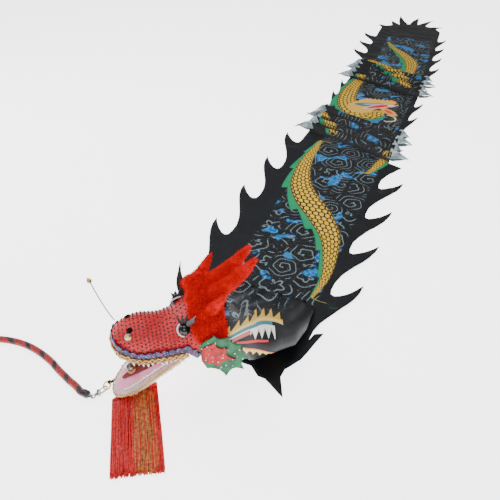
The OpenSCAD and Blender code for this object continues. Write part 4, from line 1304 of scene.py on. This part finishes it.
# ---------------------------------------------------------------------------------------
# Tassel: strands of red and golden-brown rayon that hang from a bound header under the
# jaw and lie fanned on the floor, cut unevenly at the ends.
# ---------------------------------------------------------------------------------------
header_front, header_rear, tassel_length = (26, 6, 9), (42, 120, 56), 225


def strand_point(share, t, lift=0.0):
    """A point of the tassel: share across it from front to rear, t from header to cut end."""
    front = np.array([header_front[0] + tassel_length * t, header_front[1] - 5 - 23 * t, 0])
    rear = np.array([header_rear[0] + tassel_length * t, header_rear[1] - 16 * t, 0])
    x, y, _ = front + (rear - front) * share
    return head_point(x, y, max(1.0, (5 + share * 46) * (1 - t) ** 2.4 + 1.0 + lift))


def rayon(name, dark, light):
    return mottled(name, dark, light, (160, 3), 0.42, edge=(0.35, 0.65), bump=(500, 2, 0.3, 0.0008))


red_rayon = rayon("red rayon strands", (0.34, 0.001, 0.001), (0.72, 0.006, 0.004))
gold_rayon = rayon("golden brown rayon strands", (0.26, 0.06, 0.01), (0.58, 0.24, 0.035))


def strands(name, finish, slot_name, shares, seed, node):
    """Soft flat strands, each with its own drift, height and cut end."""
    rng = np.random.default_rng(seed)
    points, faces = [], []
    for share in shares:
        drift, rise, cut = rng.normal(0, 0.010), rng.uniform(0.5, 6.4), rng.uniform(0.93, 1.0)
        wave, broad = rng.uniform(0, 6.3), rng.uniform(0.9, 1.7) / 1000
        start, count = len(points), 15
        for k in range(count):
            t = cut * k / (count - 1)
            here = share + drift * t + 0.005 * math.sin(wave + 7 * t)
            centre = strand_point(min(1, max(0, here)), t, rise + 0.8 * math.sin(wave + 11 * t))
            beside = (strand_point(1, t) - strand_point(0, t)).normalized() * broad
            tall = Vector((0, 0, 0.0009))
            points += [centre - beside, centre - tall, centre + beside, centre + tall]
        faces += tube_faces(count, 4, start)
    belongs(piece_from(name, points, faces, finish), "tassel", slot_name, node)


rng = np.random.default_rng(12)
red_shares = np.concatenate([rng.uniform(0, 0.47, 230), rng.uniform(0.47, 0.84, 70),
                             rng.uniform(0.84, 1, 70)])
gold_shares = np.concatenate([rng.uniform(0.46, 0.86, 110), rng.uniform(0.86, 1, 9),
                              rng.uniform(0.1, 0.46, 8)])
strands("tassel_red_strands", red_rayon, "red_cord", red_shares, 21, "tassel_red")
strands("tassel_gold_strands", gold_rayon, "gold_braid", gold_shares, 22, "tassel_gold")
dressed(red_rayon, "tassel_header")

# ---------------------------------------------------------------------------------------
# Lead fittings: a webbing tab riveted under the chin carries a gold ring, and a steel
# snap hook with a sprung gate turns on a swivel that the rope is crimped to.
# ---------------------------------------------------------------------------------------
steel = mottled("nickel-plated steel", (0.10, 0.105, 0.11), (0.32, 0.32, 0.31), (180, 2),
                (0.20, 0.18, 90, 3), Metallic=1.0)
webbing = finish_of("woven black webbing", lambda place: {
    "Base_Color": flat(place, (0.010, 0.010, 0.012)).tint(place.noise(90, 3),
                                                          (0.030, 0.029, 0.030)),
    "Roughness": 0.78,
    "bump": ((place.parts()[0] * 2400.0).sin() * (place.parts()[1] * 2400.0).sin(), 0.6, 0.0010)})
dressed(steel, "hook_body", "hook_gate", "gate_pin", "swivel_eye", "rope_bail", "neck_hoop")
dressed(webbing, "chin_tab", "load_strap", "hand_loop")
dressed(mottled("black crimped sleeve", (0.008, 0.008, 0.009), (0.022, 0.022, 0.024),
                (70, 2), 0.34),
        "rope_sleeve")

# ---------------------------------------------------------------------------------------
# Folded points: where the ribbon is pleated its edge flames are doubled over, so their
# grey-blue backs stick out at both ends of each gather in curled, pointed leaves.
# ---------------------------------------------------------------------------------------
cloth_back = finish_of("back of the satin", lambda place: {
    "Base_Color": over_shape((
        (place.noise(34, 3).soft(0.35, 0.65), (0.36, 0.44, 0.46)),
        (place.noise(22, 2).soft(0.62, 0.70) * 0.8, (0.012, 0.013, 0.016))),
        flat(place, (0.12, 0.17, 0.19))),
    "Roughness": 0.5, "bump": (place.noise(60, 3), 0.4, 0.003)})
for node, body, start, seed in (("gather_front", "ribbon", FIRST_GATHER, 4),
                                ("gather_rear", "ribbon_mid", SECOND_GATHER, 9)):
    rng = np.random.default_rng(seed)
    strokes = []
    for side in (-1, 1):
        for k in range(4):
            x = side * 0.205
            y = start + 0.040 + 0.080 * k - x * SLANT
            reach = (0.100, 0.050, 0.088, 0.060)[k]
            strokes.append((Vector((x, y, 0.019)),
                            Vector((x + side * reach, y + side * 0.012 - 0.006, 0.0075)),
                            0.034 + 0.014 * rng.random(),
                            Vector((0, 0.012 * (rng.random() - 0.5), 0.010)),
                            Vector((side * 0.2, -0.45, 0.9))))
            strokes.append((Vector((x, y + 0.018, 0.021)),
                            Vector((x + side * reach * 0.62, y + 0.034, 0.0080)),
                            0.024, Vector((0, 0.006, 0.010)), Vector((side * 0.3, -0.2, 0.9))))
    blades(f"{node}_points", strokes, cloth_back, node, body, "black_cloth", CLOTH)

# ---------------------------------------------------------------------------------------
# Floor: plain, pale and wide. It isn't part of the streamer.
# ---------------------------------------------------------------------------------------
floor_finish = finish_of("pale floor", lambda place: {
    "Base_Color": flat(place, (0.90, 0.90, 0.90)), "Roughness": 0.9},
    Emission_Color=(1, 1, 1, 1), Emission_Strength=3.2)
floor = piece_from("floor", [(-9, -9, 0), (9, -9, 0), (9, 14, 0), (-9, 14, 0)], [(0, 1, 2, 3)],
                   floor_finish, smooth=False)
